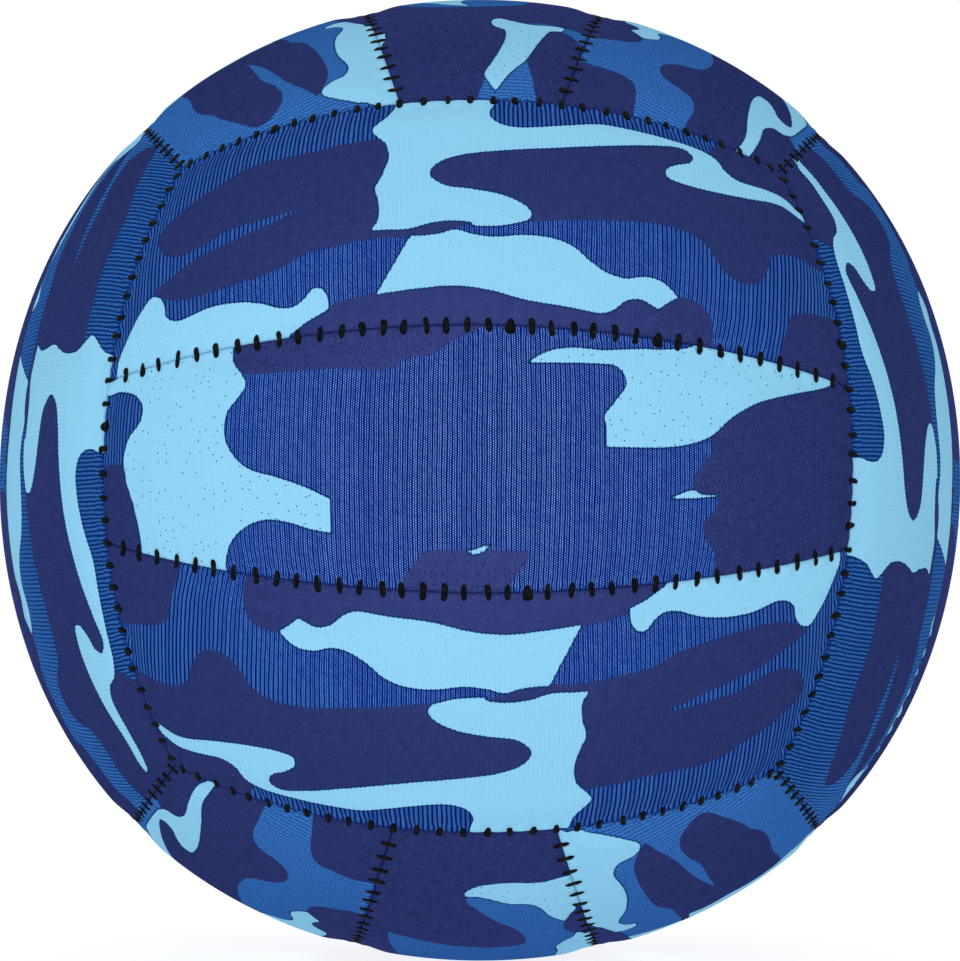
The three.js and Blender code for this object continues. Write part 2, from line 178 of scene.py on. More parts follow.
SIDE_LIGHT = [
    # left end
    [(-66.5, 27, 1), (-67.9, 19.5), (-67.7, 14), (-68.4, 8), (-68.1, 3), (-66.8, -0.3), (-64.8, -1.9),
     (-63.4, -1.9, 1), (-63.3, 1), (-61.8, 4.3), (-60.3, 7), (-59.8, 10.3), (-58, 13), (-53, 15.4),
     (-48.4, 18.5, 1), (-52, 20), (-56, 22), (-61, 29, 1)],
    [(-38.6, 21.2, 1), (-36, 20.8), (-34.2, 18.6), (-31, 17.2), (-25, 17.6), (-17, 17.2), (-8, 17.8),
     (-3, 20), (1, 24), (4, 31, 1), (-33, 31, 1), (-35.7, 23.3)],
    # right end
    [(81, 2.9, 1), (75, 6), (70, 8.9), (65, 10.5), (58, 12.7), (54.5, 14.1), (53.4, 16.2),
     (50.7, 17.2, 1), (51.4, 13.5), (51.6, 9.5), (50, 6), (48.6, 3.4), (50, 2.1), (53.3, 2.3),
     (54.7, 3.4), (55.6, 4.6), (60, 4.9), (66, 3.8), (71.5, 2.2), (76.3, 0.7), (78.7, 1.6)],
    [(60.5, -21.3, 1), (56, -20.2), (51.5, -20.5, 1), (50, -28, 1), (62, -28, 1)],
    [(36.5, -3, 1), (31, -4.7), (22, -4), (13, -6.2), (9, -11), (14, -14.3), (22, -13.6), (29, -10.5),
     (33.5, -7.5)],
]
SIDE_DARK = [
    [(-92, 30, 1), (-92, -30, 1), (-5, -31, 1), (-5, -17.3), (-23, -17), (-33, -18.2), (-38, -18.3),
     (-41.2, -18, 1), (-39.8, -14), (-36.6, -7), (-35, 0), (-34.9, 6), (-36.6, 9.9), (-41, 10.5),
     (-47, 8.5), (-52, 4.5), (-57, 1), (-62.5, -1.7), (-66, 4), (-65, 20), (-64, 30, 1)],
    [(-62, 30, 1), (-56, 20, 1), (-50, 18.9), (-45.5, 18.4), (-41, 19.6), (-38, 21.6), (-35.5, 24.5),
     (-33, 31, 1)],
    [(92, 28, 1), (58, 28, 1), (58, 20.5, 1), (54.8, 18.8), (53.5, 15.5), (60, 9, 1), (78, 0.7, 1),
     (83.5, -0.7), (92, -1, 1), (92, -30, 1), (12, -31, 1), (10, -24), (18, -18.5), (29, -16.5),
     (35, -11.5), (37.5, -4.5), (36.5, 3), (33, 8), (25, 10.5), (17, 14), (13, 20), (11, 31, 1),
     (48.5, 30, 1), (50.4, 18), (51.4, 9), (90, 12, 1)],
]
PRINTS = {
    "outer": (OUTER_LIGHT, OUTER_DARK),
    "front": (FRONT_LIGHT, FRONT_DARK),
    "side": (SIDE_LIGHT, SIDE_DARK),
}

# How far a panel was cut off the pattern's middle: along, across in millimetres, and turned in degrees.
CUTS = {
    "front_upper": (0, 0, 0.3),
    "front_lower": (-1, 0.5, 1.5),
    "left_front": (-4.6, 1.1, 0.3),
    "right_front": (0.4, -0.5, 2),
    "top_left": (-3, 0.5, 0.5),
    "top_right": (2.5, 2, 0),
    "bottom_left": (-0.5, 3, 0),
    "bottom_right": (-1.5, 0.5, 0),
    "back_upper": (2, -1, 0.5),
    "back_lower": (-1.5, 1, -1),
    "left_back": (1, 1.5, 0),
    "right_back": (-2, 0.5, 1),
}


def srgb(red, green, blue):
    """A colour as read from a screen, 0 to 255, for a colour property."""
    return (red / 255, green / 255, blue / 255)


def number_property(name, description, default, **limits):
    return bpy.props.FloatProperty(name=name, description=description, default=default, **limits)


def size_property(name, description, millimetres):
    return number_property(name, description, millimetres * MM, min=0, unit="LENGTH", precision=5)


def angle_property(name, description, degrees):
    return number_property(name, description, math.radians(degrees), subtype="ANGLE")


def colour_property(name, description, default):
    return bpy.props.FloatVectorProperty(
        name=name, description=description, default=srgb(*default), min=0, max=1, subtype="COLOR_GAMMA"
    )


class CoverSettings(bpy.types.PropertyGroup):
    """Sizes and colours of the knit cover."""

    mesh_step: size_property("Mesh step", "Distance between the points of a panel's surface", 0.6)
    seam_gap: size_property("Seam gap", "Between the edges of two panels at the bottom of a seam", 0.03)
    roll_depth: size_property("Rolled edge depth", "How deep a panel's edge rolls in at its seam", 0.35)
    roll_width: size_property("Rolled edge width", "How wide the rolled edge is", 0.65)
    notch_width: size_property("Notch width", "How much wider a stitch draws the rolled edge", 0.7)
    shoulder_depth: size_property("Shoulder depth", "How far the panel falls away before it rolls in", 0.85)
    shoulder_width: size_property("Shoulder width", "How far from the seam a panel begins to fall away", 8)
    pucker_depth: size_property("Pucker depth", "How deep a stitch pulls the knit down", 0.24)
    pucker_place: size_property("Pucker place", "From the seam to where a stitch goes in", 1.3)
    wale_pitch: size_property("Wale pitch", "From one knitted rib to the next", 0.96)
    course_pitch: size_property("Course pitch", "From one row of loops to the next", 0.475)
    rib_height: size_property("Rib height", "Height of the knitted ribs", 0.1)
    light: colour_property("Light", "Light blue of the print", (147, 213, 247))
    loop: colour_property("Medium, loops", "Tops of the loops in the medium blue", (100, 174, 255))
    # Lighter loops: partly stretched knit, partly a painted frontal sheen at a face's middle.
    loop_stretched_and_sheen: colour_property("Medium, stretched loops and sheen", "The same, stretched, with painted sheen", (150, 192, 255))
    mid: colour_property("Medium", "Sides of the loops in the medium blue", (2, 42, 142))
    gap: colour_property("Medium, gaps", "Between the ribs in the medium blue", (0, 12, 88))
    # Painted sheen: the paler medium blue of the top, bottom and sides, with painted shade between its ribs.
    plain: colour_property("Medium, painted sheen", "Medium blue with painted sheen where the ribs show less", (70, 138, 224))
    dark: colour_property("Dark", "Dark blue of the print", (40, 51, 104))
    # Lighter, purpler dark: partly stretched knit, partly a painted frontal sheen at a face's middle.
    dark_stretched_and_sheen: colour_property("Dark, stretched and sheen", "Dark blue where it is stretched, with painted sheen", (58, 68, 130))


class StitchSettings(bpy.types.PropertyGroup):
    """Sizes of the seam stitches."""

    edge_pitch: size_property("Pitch round a face", "From one stitch to the next round a face", 4.35)
    strip_pitch: size_property("Pitch between strips", "From stitch to stitch between two strips", 4.5)
    edge_end_gap: size_property("End gap round a face", "From the end of a seam to its first stitch", 2)
    strip_end_gap: size_property("End gap between strips", "From the end of a seam to its first stitch", 5)
    edge_crowding: number_property("Crowding round a face", "How much closer the end stitches are", 0.08)
    strip_crowding: number_property("Crowding between strips", "How much closer end stitches are", -0.08)
    unevenness: size_property("Unevenness", "How far a stitch strays along its seam", 0.3)
    strip_length: size_property("Length between strips", "Length of a stitch across a strip seam", 3.8)
    edge_length: size_property("Length round a face", "Length of a stitch between two faces", 3.0)
    width: size_property("Width", "Width of a stitch along its seam", 1.32)
    height: size_property("Height", "Thickness of a stitch", 0.5)
    sink: size_property("Sink", "How far a stitch lies below the ball's skin", 0.85)
    lacing: size_property("Lacing", "Thickness of the thread that joins the stitches below the seam", 0.8)
    lacing_depth: size_property("Lacing depth", "How far that thread lies below the ball's skin", 1.85)
    size_spread: number_property("Size spread", "How much stitches differ in size", 0.14, min=0, max=0.5)
    turn_spread: angle_property("Turn spread", "How far a stitch turns from square to its seam", 9)
    knot_share: number_property("Knot share", "Share of the stitches that are knots", 0.04, min=0, max=1)
    seed: bpy.props.IntProperty(name="Seed", description="Seed of the stitches' differences", default=4)
    thread: colour_property("Thread", "Waxed black thread", (2, 4, 7))
    # The worn colour is a painted highlight: warm glints on the thread where a stitch's turns cross.
    glint: colour_property("Thread, painted glint", "Painted highlight where a stitch's turns cross", (48, 44, 40))


class StageSettings(bpy.types.PropertyGroup):
    """Camera and lamps."""

    distance: size_property("Camera distance", "From the ball's middle to the camera", 856.6)
    lens: number_property("Lens", "Focal length", 145.57, unit="CAMERA")
    tilt: angle_property("Tilt", "How far the ball leans towards the camera", -2.41)
    turn: angle_property("Turn", "How far the ball is turned about the view's upright", -0.32)
    roll: angle_property("Roll", "How far the ball is rolled in the view", 0.46)
    ambient: number_property("Ambient", "Strength of the even light", 0.66)
    key: number_property("Key", "Power of the front lamp in watts", 8.3)
    lamp_turn: angle_property("Lamp turn", "How far the front lamp stands to one side", -9)
    lamp_distance: size_property("Lamp distance", "From the ball's middle to the front lamp", 1300)
    lamp_size: size_property("Lamp size", "Across the front lamp", 1100)


# Numbers of a surface, written as expressions


def arithmetic(operation, swapped=False):
    """A method of Field that adds one Math node."""

    def method(self, *others):
        items = (*others, self) if swapped else (self, *others)
        return field(self.tree, "ShaderNodeMath", 0, {"operation": operation}, dict(enumerate(items)))

    return method


class Field:
    """A number that changes over a surface. Arithmetic on it adds Math nodes."""

    def __init__(self, tree, socket):
        self.tree = tree
        self.socket = socket

    __add__ = __radd__ = arithmetic("ADD")
    __sub__ = arithmetic("SUBTRACT")
    __rsub__ = arithmetic("SUBTRACT", swapped=True)
    __mul__ = __rmul__ = arithmetic("MULTIPLY")
    __truediv__ = arithmetic("DIVIDE")
    __lt__ = arithmetic("LESS_THAN")
    __gt__ = arithmetic("GREATER_THAN")
    __abs__ = arithmetic("ABSOLUTE")
    __pow__ = arithmetic("POWER")
    whole = arithmetic("FLOOR")
    part = arithmetic("FRACT")
    sine = arithmetic("SINE")
    cosine = arithmetic("COSINE")
    at_least = arithmetic("MAXIMUM")
    at_most = arithmetic("MINIMUM")

    def step(self, low, high):
        """0 below low, 1 above high, and smooth between them."""
        return field(self.tree, "ShaderNodeMapRange", "Result", {"interpolation_type": "SMOOTHSTEP"},
                     {"Value": self, "From Min": low, "From Max": high})


def join(tree, item, slot):
    """Sets a socket to a number, a colour or a vector, or links it to a field or a socket."""
    if isinstance(item, Field):
        item = item.socket
    if isinstance(item, bpy.types.NodeSocket):
        tree.links.new(item, slot)
    else:
        slot.default_value = item


def add_node(tree, kind, settings=None, values=None):
    """A node of any kind, with its settings first and then the values or links of its sockets."""
    node = tree.nodes.new(kind)
    for name, value in (settings or {}).items():
        setattr(node, name, value)
    for name, value in (values or {}).items():
        join(tree, value, node.inputs[name])
    return node


def field(tree, kind, output, settings=None, values=None):
    return Field(tree, add_node(tree, kind, settings, values).outputs[output])


def linear(colour):
    """A screen colour as the light it gives, with its alpha, for a shader."""
    return (*[c / 12.92 if c <= 0.04045 else ((c + 0.055) / 1.055) ** 2.4 for c in colour], 1)


def blend_colours(tree, share, first, second):
    """The first colour, with a share of the second."""
    mix = add_node(tree, "ShaderNodeMix", {"data_type": "RGBA"}, {0: share, 6: first, 7: second})
    return mix.outputs[2]


def vector(tree, x, y, z=0.0):
    return add_node(tree, "ShaderNodeCombineXYZ", None, {"X": x, "Y": y, "Z": z}).outputs[0]


def new_material(name):
    material = bpy.data.materials.new(name)
    material.use_nodes = True
    material.node_tree.nodes.clear()
    return material, material.node_tree


def finish_material(tree, shader):
    add_node(tree, "ShaderNodeOutputMaterial", None, {"Surface": shader.outputs[0]})


def finish_surface(tree, colour, roughness, normal, gloss=0.5):
    """Ends a material in one shader with a colour, a roughness, a bumped normal and a gloss."""
    finish_material(tree, add_node(tree, "ShaderNodeBsdfPrincipled", None, {
        "Base Color": colour, "Roughness": roughness, "Normal": normal, "Specular IOR Level": gloss,
    }))


def bump(tree, strength, distance, height):
    values = {"Strength": strength, "Distance": distance, "Height": height}
    return add_node(tree, "ShaderNodeBump", None, values).outputs[0]


def noise(tree, place, scale, detail):
    values = {"Vector": place, "Scale": scale, "Detail": detail}
    return field(tree, "ShaderNodeTexNoise", 0, None, values)


def point_value(tree, name):
    return field(tree, "ShaderNodeAttribute", "Fac", {"attribute_name": name})


def specks(tree, along, across, cell, reach, share):
    """Small spots scattered over the cloth, one at most in a cell: their cell and reach in millimetres."""
    node = add_node(tree, "ShaderNodeTexVoronoi", {"voronoi_dimensions": "2D"},
                    {"Vector": vector(tree, along / cell, across / cell), "Scale": 1.0})
    chance = field(tree, "ShaderNodeSeparateXYZ", 0, None, {0: node.outputs["Color"]})
    near = 1 - Field(tree, node.outputs["Distance"]).step(0.5 * reach / cell, reach / cell)
    return near * (chance < share)


def mottle(tree, along, across, size, detail=2.0):
    """Even noise from 0 to 1 whose patches have a size in millimetres."""
    return field(tree, "ShaderNodeTexNoise", 0, {"noise_dimensions": "2D"},
                 {"Vector": vector(tree, along / size, across / size), "Scale": 1.0, "Detail": detail})


# Second tones of the print's colours, as read from a screen. Some stand in for light: the painted shade on
# the light print, the painted shadow in the seams, the medium's gaps under painted sheen, and the thread's
# painted highlight.
SHADES = {
    "rib shade gap": (12, 48, 112), "light print shade": (86, 150, 200), "pinhole": (26, 72, 122), "rim": (4, 46, 108),
    "dark row": (26, 32, 92), "dark fleck": (92, 104, 168), "seam": (10, 30, 104), "dark seam shadow": (28, 36, 92),
    "black": (0, 0, 0), "olive glint": (52, 60, 44), "bladder": (34, 34, 36), "bladder bloom": (52, 52, 54),
    "valve": (24, 26, 32), "valve bloom": (38, 40, 46),
}


def shade(name):
    return linear(srgb(*SHADES[name]))


def knit_material(cover):
    """Printed rib knit: the print's three blues over ribs and rows of loops.

    The shares and limits in the sums below were matched to the photograph's tones.
    """
    material, tree = new_material("printed_knit")
    place = add_node(tree, "ShaderNodeUVMap", {"uv_map": "cloth"}).outputs[0]
    parts = add_node(tree, "ShaderNodeSeparateXYZ", None, {0: place})
    along, across = ((Field(tree, part) - 0.5) * UV_SPAN for part in parts.outputs[:2])
    to_light, to_dark, to_seam, stretch_and_sheen, strain, ribs, middle_panel = (
        point_value(tree, name)
        for name in ("to_light", "to_dark", "to_seam", "stretch_and_sheen", "strain", "ribs", "middle_panel")
    )

    sway = mottle(tree, along, across * 0.4, 5.0)
    wale = along / (cover.wale_pitch / MM) + (sway - 0.5) * 0.5
    side = abs(wale.part() - 0.5) * 2
    course = across / (cover.course_pitch / MM) + side * 0.3 + (wale.part() > 0.5) * 0.5
    loops = (course * (2 * math.pi)).cosine() * 0.5 + 0.5
    crisp = stretch_and_sheen.step(0.0, 0.3) * 0.7 + 0.3
    leg = (1 - abs(side - 0.44).step(0.05, 0.3)) * crisp + (1 - side.step(0.15, 0.7)) * (1 - crisp)
    gap = side.step(0.62, 0.82)
    groove = (1 - side.step(0.05, 0.3)) * crisp
    cell = vector(tree, wale.whole(), course.whole())
    chance = field(tree, "ShaderNodeTexWhiteNoise", 0, {"noise_dimensions": "2D"}, {"Vector": cell})
    rib_chance = field(tree, "ShaderNodeTexWhiteNoise", 0, {"noise_dimensions": "1D"},
                       {"W": wale.whole()})
    patches = mottle(tree, along, across, 2.2, 3.0)
    grain = mottle(tree, along, across * 0.7, 0.3)

    beads = loops**1.3 * (crisp * 0.7 + 0.3) + (1 - crisp) * 0.4
    dots = leg * beads * ((chance - 0.5) * crisp * 0.6 + 0.95) * (0.8 + rib_chance * 0.4)
    dots = (dots * (0.8 + patches * 0.35) + strain * leg * 0.3).at_most(1.0)
    # Painted frontal sheen with stretched knit: the loops lighter towards a face's middle.
    loop = blend_colours(tree, stretch_and_sheen, linear(cover.loop), linear(cover.loop_stretched_and_sheen))
    furrow = (gap * (0.3 + patches * 0.4 + stretch_and_sheen * 0.45) + groove * 0.4).at_most(1.0)
    medium = blend_colours(tree, furrow, linear(cover.mid), linear(cover.gap))
    medium = blend_colours(tree, dots, medium, loop)
    # Painted shade: the medium blue darker away from a face's middle, with less stretched knit there.
    medium = blend_colours(tree, (1 - crisp) * 0.38, medium, shade("black"))
    # Painted sheen and shade: off the front and back the medium is paler, with painted shade between ribs.
    ridge = 0.5 - side.step(0.25, 0.9)
    sheen_and_rib_shade = 0.71 - ribs + ridge * ribs * 0.8 + (dots - 0.2) * 0.5 + (grain - 0.5) * 1.1
    sheen_and_rib_shade = sheen_and_rib_shade.at_least(0.0)
    sheen_and_rib_shade = blend_colours(tree, sheen_and_rib_shade.at_most(1.0), shade("rib shade gap"), linear(cover.plain))
    medium = blend_colours(tree, ribs.step(0.6, 1.0), sheen_and_rib_shade, medium)

    holes = specks(tree, along, across * 0.8, 2.0, 0.19, 0.6) * middle_panel
    stray = specks(tree, along + 40.0, across, 1.7, 0.14, 0.35)
    # Painted shade on the light print: darker in random creases and between the ribs, lighter on the loops.
    light_print_shade = (0.35 + gap * 0.12 - dots * 0.25 + (grain - 0.5) * 1.6).at_least(0.0)
    light = blend_colours(tree, light_print_shade * 0.18, linear(cover.light), shade("light print shade"))
    light = blend_colours(tree, (holes * 0.9).at_least(stray * 0.5), light, shade("pinhole"))
    # Painted frontal sheen with stretched knit: the dark blue lighter and purpler towards a face's middle.
    tone = (stretch_and_sheen * 0.9 + (grain - 0.5) * 0.9 + (patches - 0.5) * 0.6 + dots * 0.15).at_least(0.0)
    dark = blend_colours(tree, tone.at_most(1.0), linear(cover.dark), linear(cover.dark_stretched_and_sheen))
    rows = specks(tree, along, across * 0.6, 1.05, 0.2, 0.75) * middle_panel
    dark = blend_colours(tree, rows * 0.8, dark, shade("dark row"))
    flecks = specks(tree, along, across * 1.4 + 30.0, 1.0, 0.16, 0.5)
    dark = blend_colours(tree, flecks * (0.15 + patches * 0.5), dark, shade("dark fleck"))

    frayed = (loops - 0.5) * 0.06 + (gap - 0.5) * 0.12 + (patches - 0.5) * 0.2
    in_dark = 1 - (to_dark + frayed).step(-0.12, 0.12)
    in_light = 1 - (to_light + frayed).step(-0.1, 0.1)
    rim = (1 - (to_light + frayed).step(0.15, 0.5)) * (1 - in_light)
    ground = blend_colours(tree, in_dark, medium, dark)
    ground = blend_colours(tree, rim, ground, shade("rim"))
    colour = blend_colours(tree, in_light, ground, light)
    # Painted shadow along each seam's groove, fainter on the light print.
    seam = 1 - (to_seam + (grain - 0.5) * 2.2).step(0.1, 0.6)
    shadow = blend_colours(tree, in_dark, shade("seam"), shade("dark seam shadow"))
    colour = blend_colours(tree, seam * (0.65 - in_light * 0.47), colour, shadow)

    height = (1 - gap) * (1 - groove * 0.4) + loops * leg * 0.4
    fill = 1 - in_light * 0.8 - in_dark * 0.6
    normal = bump(tree, 1.0, cover.rib_height, height * fill)
    finish_surface(tree, colour, 0.62 - in_light * 0.06, normal, gloss=0.0)
    return material


def thread_material(stitch):
    """Waxed twisted thread with painted highlights: warm glints as colour where a stitch's turns cross."""
    material, tree = new_material("seam_thread")
    place = add_node(tree, "ShaderNodeTexCoord").outputs["Object"]
    fibres = noise(tree, place, 1500.0, 3.0)
    spots = noise(tree, place, 1100.0, 1.0)
    hue = noise(tree, place, 700.0, 1.0)
    ply = (point_value(tree, "twist") * (2 * math.pi)).sine() * 0.5 + 0.5
    # Painted highlight: warm glints as colour, strongest at a stitch's middle.
    painted_glint = ((point_value(tree, "waist") * 0.8 + 0.2) * spots.step(0.42, 0.68)).at_most(1.0)
    olive = blend_colours(tree, hue.step(0.42, 0.58), linear(stitch.glint), shade("olive glint"))
    colour = blend_colours(tree, painted_glint * 0.25, linear(stitch.thread), olive)
    normal = bump(tree, 0.8, 0.1 * MM, ply * 0.7 + fibres * 0.5)
    finish_surface(tree, colour, 0.55 + fibres * 0.2, normal, gloss=0.06)
    return material


def rubber_material(name, tone, roughness):
    """Moulded rubber with a faint bloom and a fine skin."""
    material, tree = new_material(name)
    place = add_node(tree, "ShaderNodeTexCoord").outputs["Object"]
    bloom = noise(tree, place, 160.0, 4.0)
    normal = bump(tree, 0.4, 0.03 * MM, noise(tree, place, 2500.0, 2.0))
    colour = blend_colours(tree, bloom, shade(tone), shade(tone + " bloom"))
    finish_surface(tree, colour, bloom * 0.2 + (roughness - 0.1), normal)
    return material


# Meshes and objects


def smooth_mesh(name, points, faces, values=None):
    """A mesh with smooth shading and named numbers on its points."""
    mesh = bpy.data.meshes.new(name)
    mesh.from_pydata(points, [], faces)
    for key, value in (values or {}).items():
        mesh.attributes.new(key, "FLOAT", "POINT").data.foreach_set("value", value)
    mesh.shade_smooth()
    return mesh


def place_object(name, data):
    placed = bpy.data.objects.new(name, data)
    bpy.context.scene.collection.objects.link(placed)
    return placed


def settle_piece(piece, replaced, material):
    """Makes an object a finished piece: it rides on the ball's one body in place of a CAD node."""
    piece.data.materials.clear()
    piece.data.materials.append(material)
    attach(piece, BODY)
    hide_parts(replaced)


# Shapes on the ball, as directions from its middle


def unit(vectors):
    return vectors / np.linalg.norm(vectors, axis=-1, keepdims=True)


def skin_radius(directions):
    return BALL_RADIUS * (1 + CORNER_BULGE * (1 - (directions**4).sum(axis=-1)))


def edge_seam(angles, along, owner, other):
    """The seam between two faces, at angles along it from its middle."""
    angles = np.asarray(angles)[:, None]
    share = angles / CORNER_ANGLE
    turn = math.pi / 4 - EDGE_SEAM_PULL * (1 - share * share)
    level = owner * np.cos(turn) + other * np.sin(turn)
    return unit(along * np.sin(angles) + level * np.cos(angles))


def strip_seam(shares, face, side):
    """The seam between two strips of a face, at shares from -1 to 1 along it."""
    normal, along, across = FACES[face][:3]
    shares = np.asarray(shares)[:, None]
    height = STRIP_SEAM_END + (STRIP_SEAM_MIDDLE - STRIP_SEAM_END) * (1 - np.abs(shares) ** STRIP_SEAM_BOW)
    end_share = STRIP_SEAM_END / CORNER_ANGLE
    turn = shares * (math.pi / 4 + EDGE_SEAM_PULL * (1 - end_share**2))
    level = along * np.sin(turn) + normal * np.cos(turn)
    return unit(level * np.cos(height) + across * side * np.sin(height))


# Points along a seam and along a panel's end, the stitches that a seam's count runs on past its ends,
# and how much fuller the last stitches and the knots are.
SEAM_POINTS, END_POINTS = 601, 241
STITCHES_BEYOND = 3
END_FULLNESS, KNOT_FULLNESS = 1.15, 1.6


class Seam:
    """One seam: its line, and where its stitches are."""

    def __init__(self, line, along, pitch, end_gap, crowding, unevenness, seed):
        self.line = line
        self.along = along
        points = line * skin_radius(line)[:, None]
        steps = np.linalg.norm(np.diff(points, axis=0), axis=1)
        self.lengths = np.concatenate([[0], np.cumsum(steps)])
        room = self.lengths[-1] - 2 * end_gap
        self.count = round(room / pitch) + 1
        t = np.linspace(0, 1, self.count)
        even = end_gap + room * (t - crowding * np.sin(2 * math.pi * t) / (2 * math.pi))
        self.stitches = even + np.random.default_rng(seed).uniform(-unevenness, unevenness, self.count)

    def phase(self, directions):
        """How many stitches along the seam a place is, from its first stitch."""
        length = np.interp(directions @ self.along, self.line @ self.along, self.lengths)
        first, last = self.stitches[0], self.stitches[-1]
        step = (last - first) / (self.count - 1)
        beyond = STITCHES_BEYOND
        places = np.concatenate([[first - beyond * step], self.stitches, [last + beyond * step]])
        numbers = np.concatenate([[-beyond], np.arange(self.count), [self.count - 1 + beyond]])
        return np.interp(length, places, numbers)

    def fullness(self, knots):
        """How full each stitch is: fuller where a seam ends, and a knot where the thread is tied."""
        full = np.ones(self.count)
        full[[0, -1]] = END_FULLNESS
        for place in knots:
            full[np.argmin(abs(self.stitches - self.lengths[-1] / 2 - place * MM))] = KNOT_FULLNESS
        return full

    def stitch_places(self):
        """The directions in which the stitches lie."""
        columns = [np.interp(self.stitches, self.lengths, column) for column in self.line.T]
        return unit(np.stack(columns, axis=1))


def face_at(normal):
    return next(name for name, face in FACES.items() if np.allclose(face[0], normal))


STRIP_SEED_OFFSET = 100


def all_seams(stitch):
    """Every seam by its two neighbours: two faces, or a face and one of its outer strips."""
    seams = {}
    angles = np.linspace(-CORNER_ANGLE, CORNER_ANGLE, SEAM_POINTS)
    shares = np.linspace(-1, 1, SEAM_POINTS)
    edge = (stitch.edge_pitch, stitch.edge_end_gap, stitch.edge_crowding, stitch.unevenness)
    strip = (stitch.strip_pitch, stitch.strip_end_gap, stitch.strip_crowding, stitch.unevenness)
    for number, (name, (normal, along, across, beside, _)) in enumerate(FACES.items()):
        for side in (-1, 1):
            seed = stitch.seed + 4 * number + side
            line = edge_seam(angles, along, normal, across * side)
            seams[name, beside[side > 0]] = Seam(line, along, *edge, seed)
            line = strip_seam(shares, name, side)
            seams[name, side] = Seam(line, along, *strip, seed + STRIP_SEED_OFFSET)
    return seams


def panel_sides(face, strip, long_count, short_count):
    """The four sides of a strip as lines of directions, with the key of the seam that each lies on."""
    normal, along, across, beside, _ = FACES[face]
    shares = np.linspace(-1, 1, long_count)

    def long_side(side):
        if strip == side:
            return edge_seam(shares * CORNER_ANGLE, along, normal, across * side), (face, beside[side > 0])
        seam_side = side if strip == 0 else -side
        return strip_seam(shares, face, seam_side), (face, seam_side)

    ends = (-CORNER_ANGLE, -STRIP_SEAM_END, STRIP_SEAM_END, CORNER_ANGLE)
    angles = np.linspace(ends[strip + 1], ends[strip + 2], short_count)

    def end_side(side):
        beyond = along * side
        return edge_seam(angles, across, beyond, normal), (face_at(beyond), face)

    return {"low": long_side(-1), "high": long_side(1), "near": end_side(-1), "far": end_side(1)}


def inset_sides(lines, distance):
    """Four sides moved inwards over the ball by a distance, with mitred corners."""
    long_steps = len(lines["low"]) - 1
    short_steps = len(lines["near"]) - 1
    forward, back = (lines["low"], lines["far"]), (lines["high"], lines["near"])
    loop = np.concatenate([line[:-1] for line in forward] + [line[:0:-1] for line in back])
    before = np.roll(loop, 1, axis=0)
    after = np.roll(loop, -1, axis=0)
    first = unit(np.cross(loop, loop - before))
    second = unit(np.cross(loop, after - loop))
    mitre = (first + second) / (1 + (first * second).sum(axis=1, keepdims=True))
    moved = unit(loop + mitre * distance / BALL_RADIUS)
    moved = np.concatenate([moved, moved[:1]])
    turn = long_steps + short_steps
    return {
        "low": moved[: long_steps + 1],
        "far": moved[long_steps : turn + 1],
        "high": moved[turn : turn + long_steps + 1][::-1],
        "near": moved[turn + long_steps :][::-1],
    }


def along_line(line, share):
    """Directions at shares from 0 to 1 of a line."""
    index = np.linspace(0, 1, len(line))
    return np.stack([np.interp(share, index, column) for column in line.T], axis=-1)


def patch(lines, u, v):
    """Directions blended between four sides."""
    low, high, near, far = (lines[side] for side in ("low", "high", "near", "far"))
    u3, v3 = u[..., None], v[..., None]
    blend = (1 - v3) * along_line(low, u) + v3 * along_line(high, u)
    blend += (1 - u3) * along_line(near, v) + u3 * along_line(far, v)
    blend -= (1 - u3) * ((1 - v3) * low[0] + v3 * high[0])
    blend -= u3 * ((1 - v3) * low[-1] + v3 * high[-1])
    return unit(blend)


def width_between(first, second):
    return BALL_RADIUS * np.arccos(np.clip((first * second).sum(axis=-1), -1, 1))


# How far the rows of points beside a seam are from it.
EDGE_ROWS = np.array([0, 0.08, 0.19, 0.33, 0.5, 0.71, 0.96, 1.27, 1.65, 2.1, 2.62, 3.2]) * MM


def shares_across(width, inner_count):
    """Places from 0 to 1 across a width: close together at both edges and even between them."""
    edge = EDGE_ROWS / width[..., None]
    last = edge[..., -1:]
    inner = last + (1 - 2 * last) * np.linspace(0, 1, inner_count + 2)[1:-1]
    return np.concatenate([edge, inner, 1 - edge[..., ::-1]], axis=-1)


# Millimetres of cloth across the whole UV square, and the lean of an outer strip's middle from its face's.
UV_SPAN = 200.0
OUTER_LEAN = math.radians(27)


def cloth_frame(face, strip):
    """A panel's middle, the way along it and the way across it."""
    normal, along, across = FACES[face][:3]
    lean = OUTER_LEAN * strip
    centre = normal * math.cos(lean) + across * math.sin(lean)
    return centre, along, across * math.cos(lean) - normal * math.sin(lean)


def cloth_places(directions, face, strip):
    """Millimetres along a panel and across it, from its middle."""
    centre, along, pole = cloth_frame(face, strip)
    u = BALL_RADIUS * np.arctan2(directions @ along, directions @ centre)
    v = BALL_RADIUS * np.arcsin(np.clip(directions @ pole, -1, 1))
    return np.stack([u, v], axis=-1) / MM


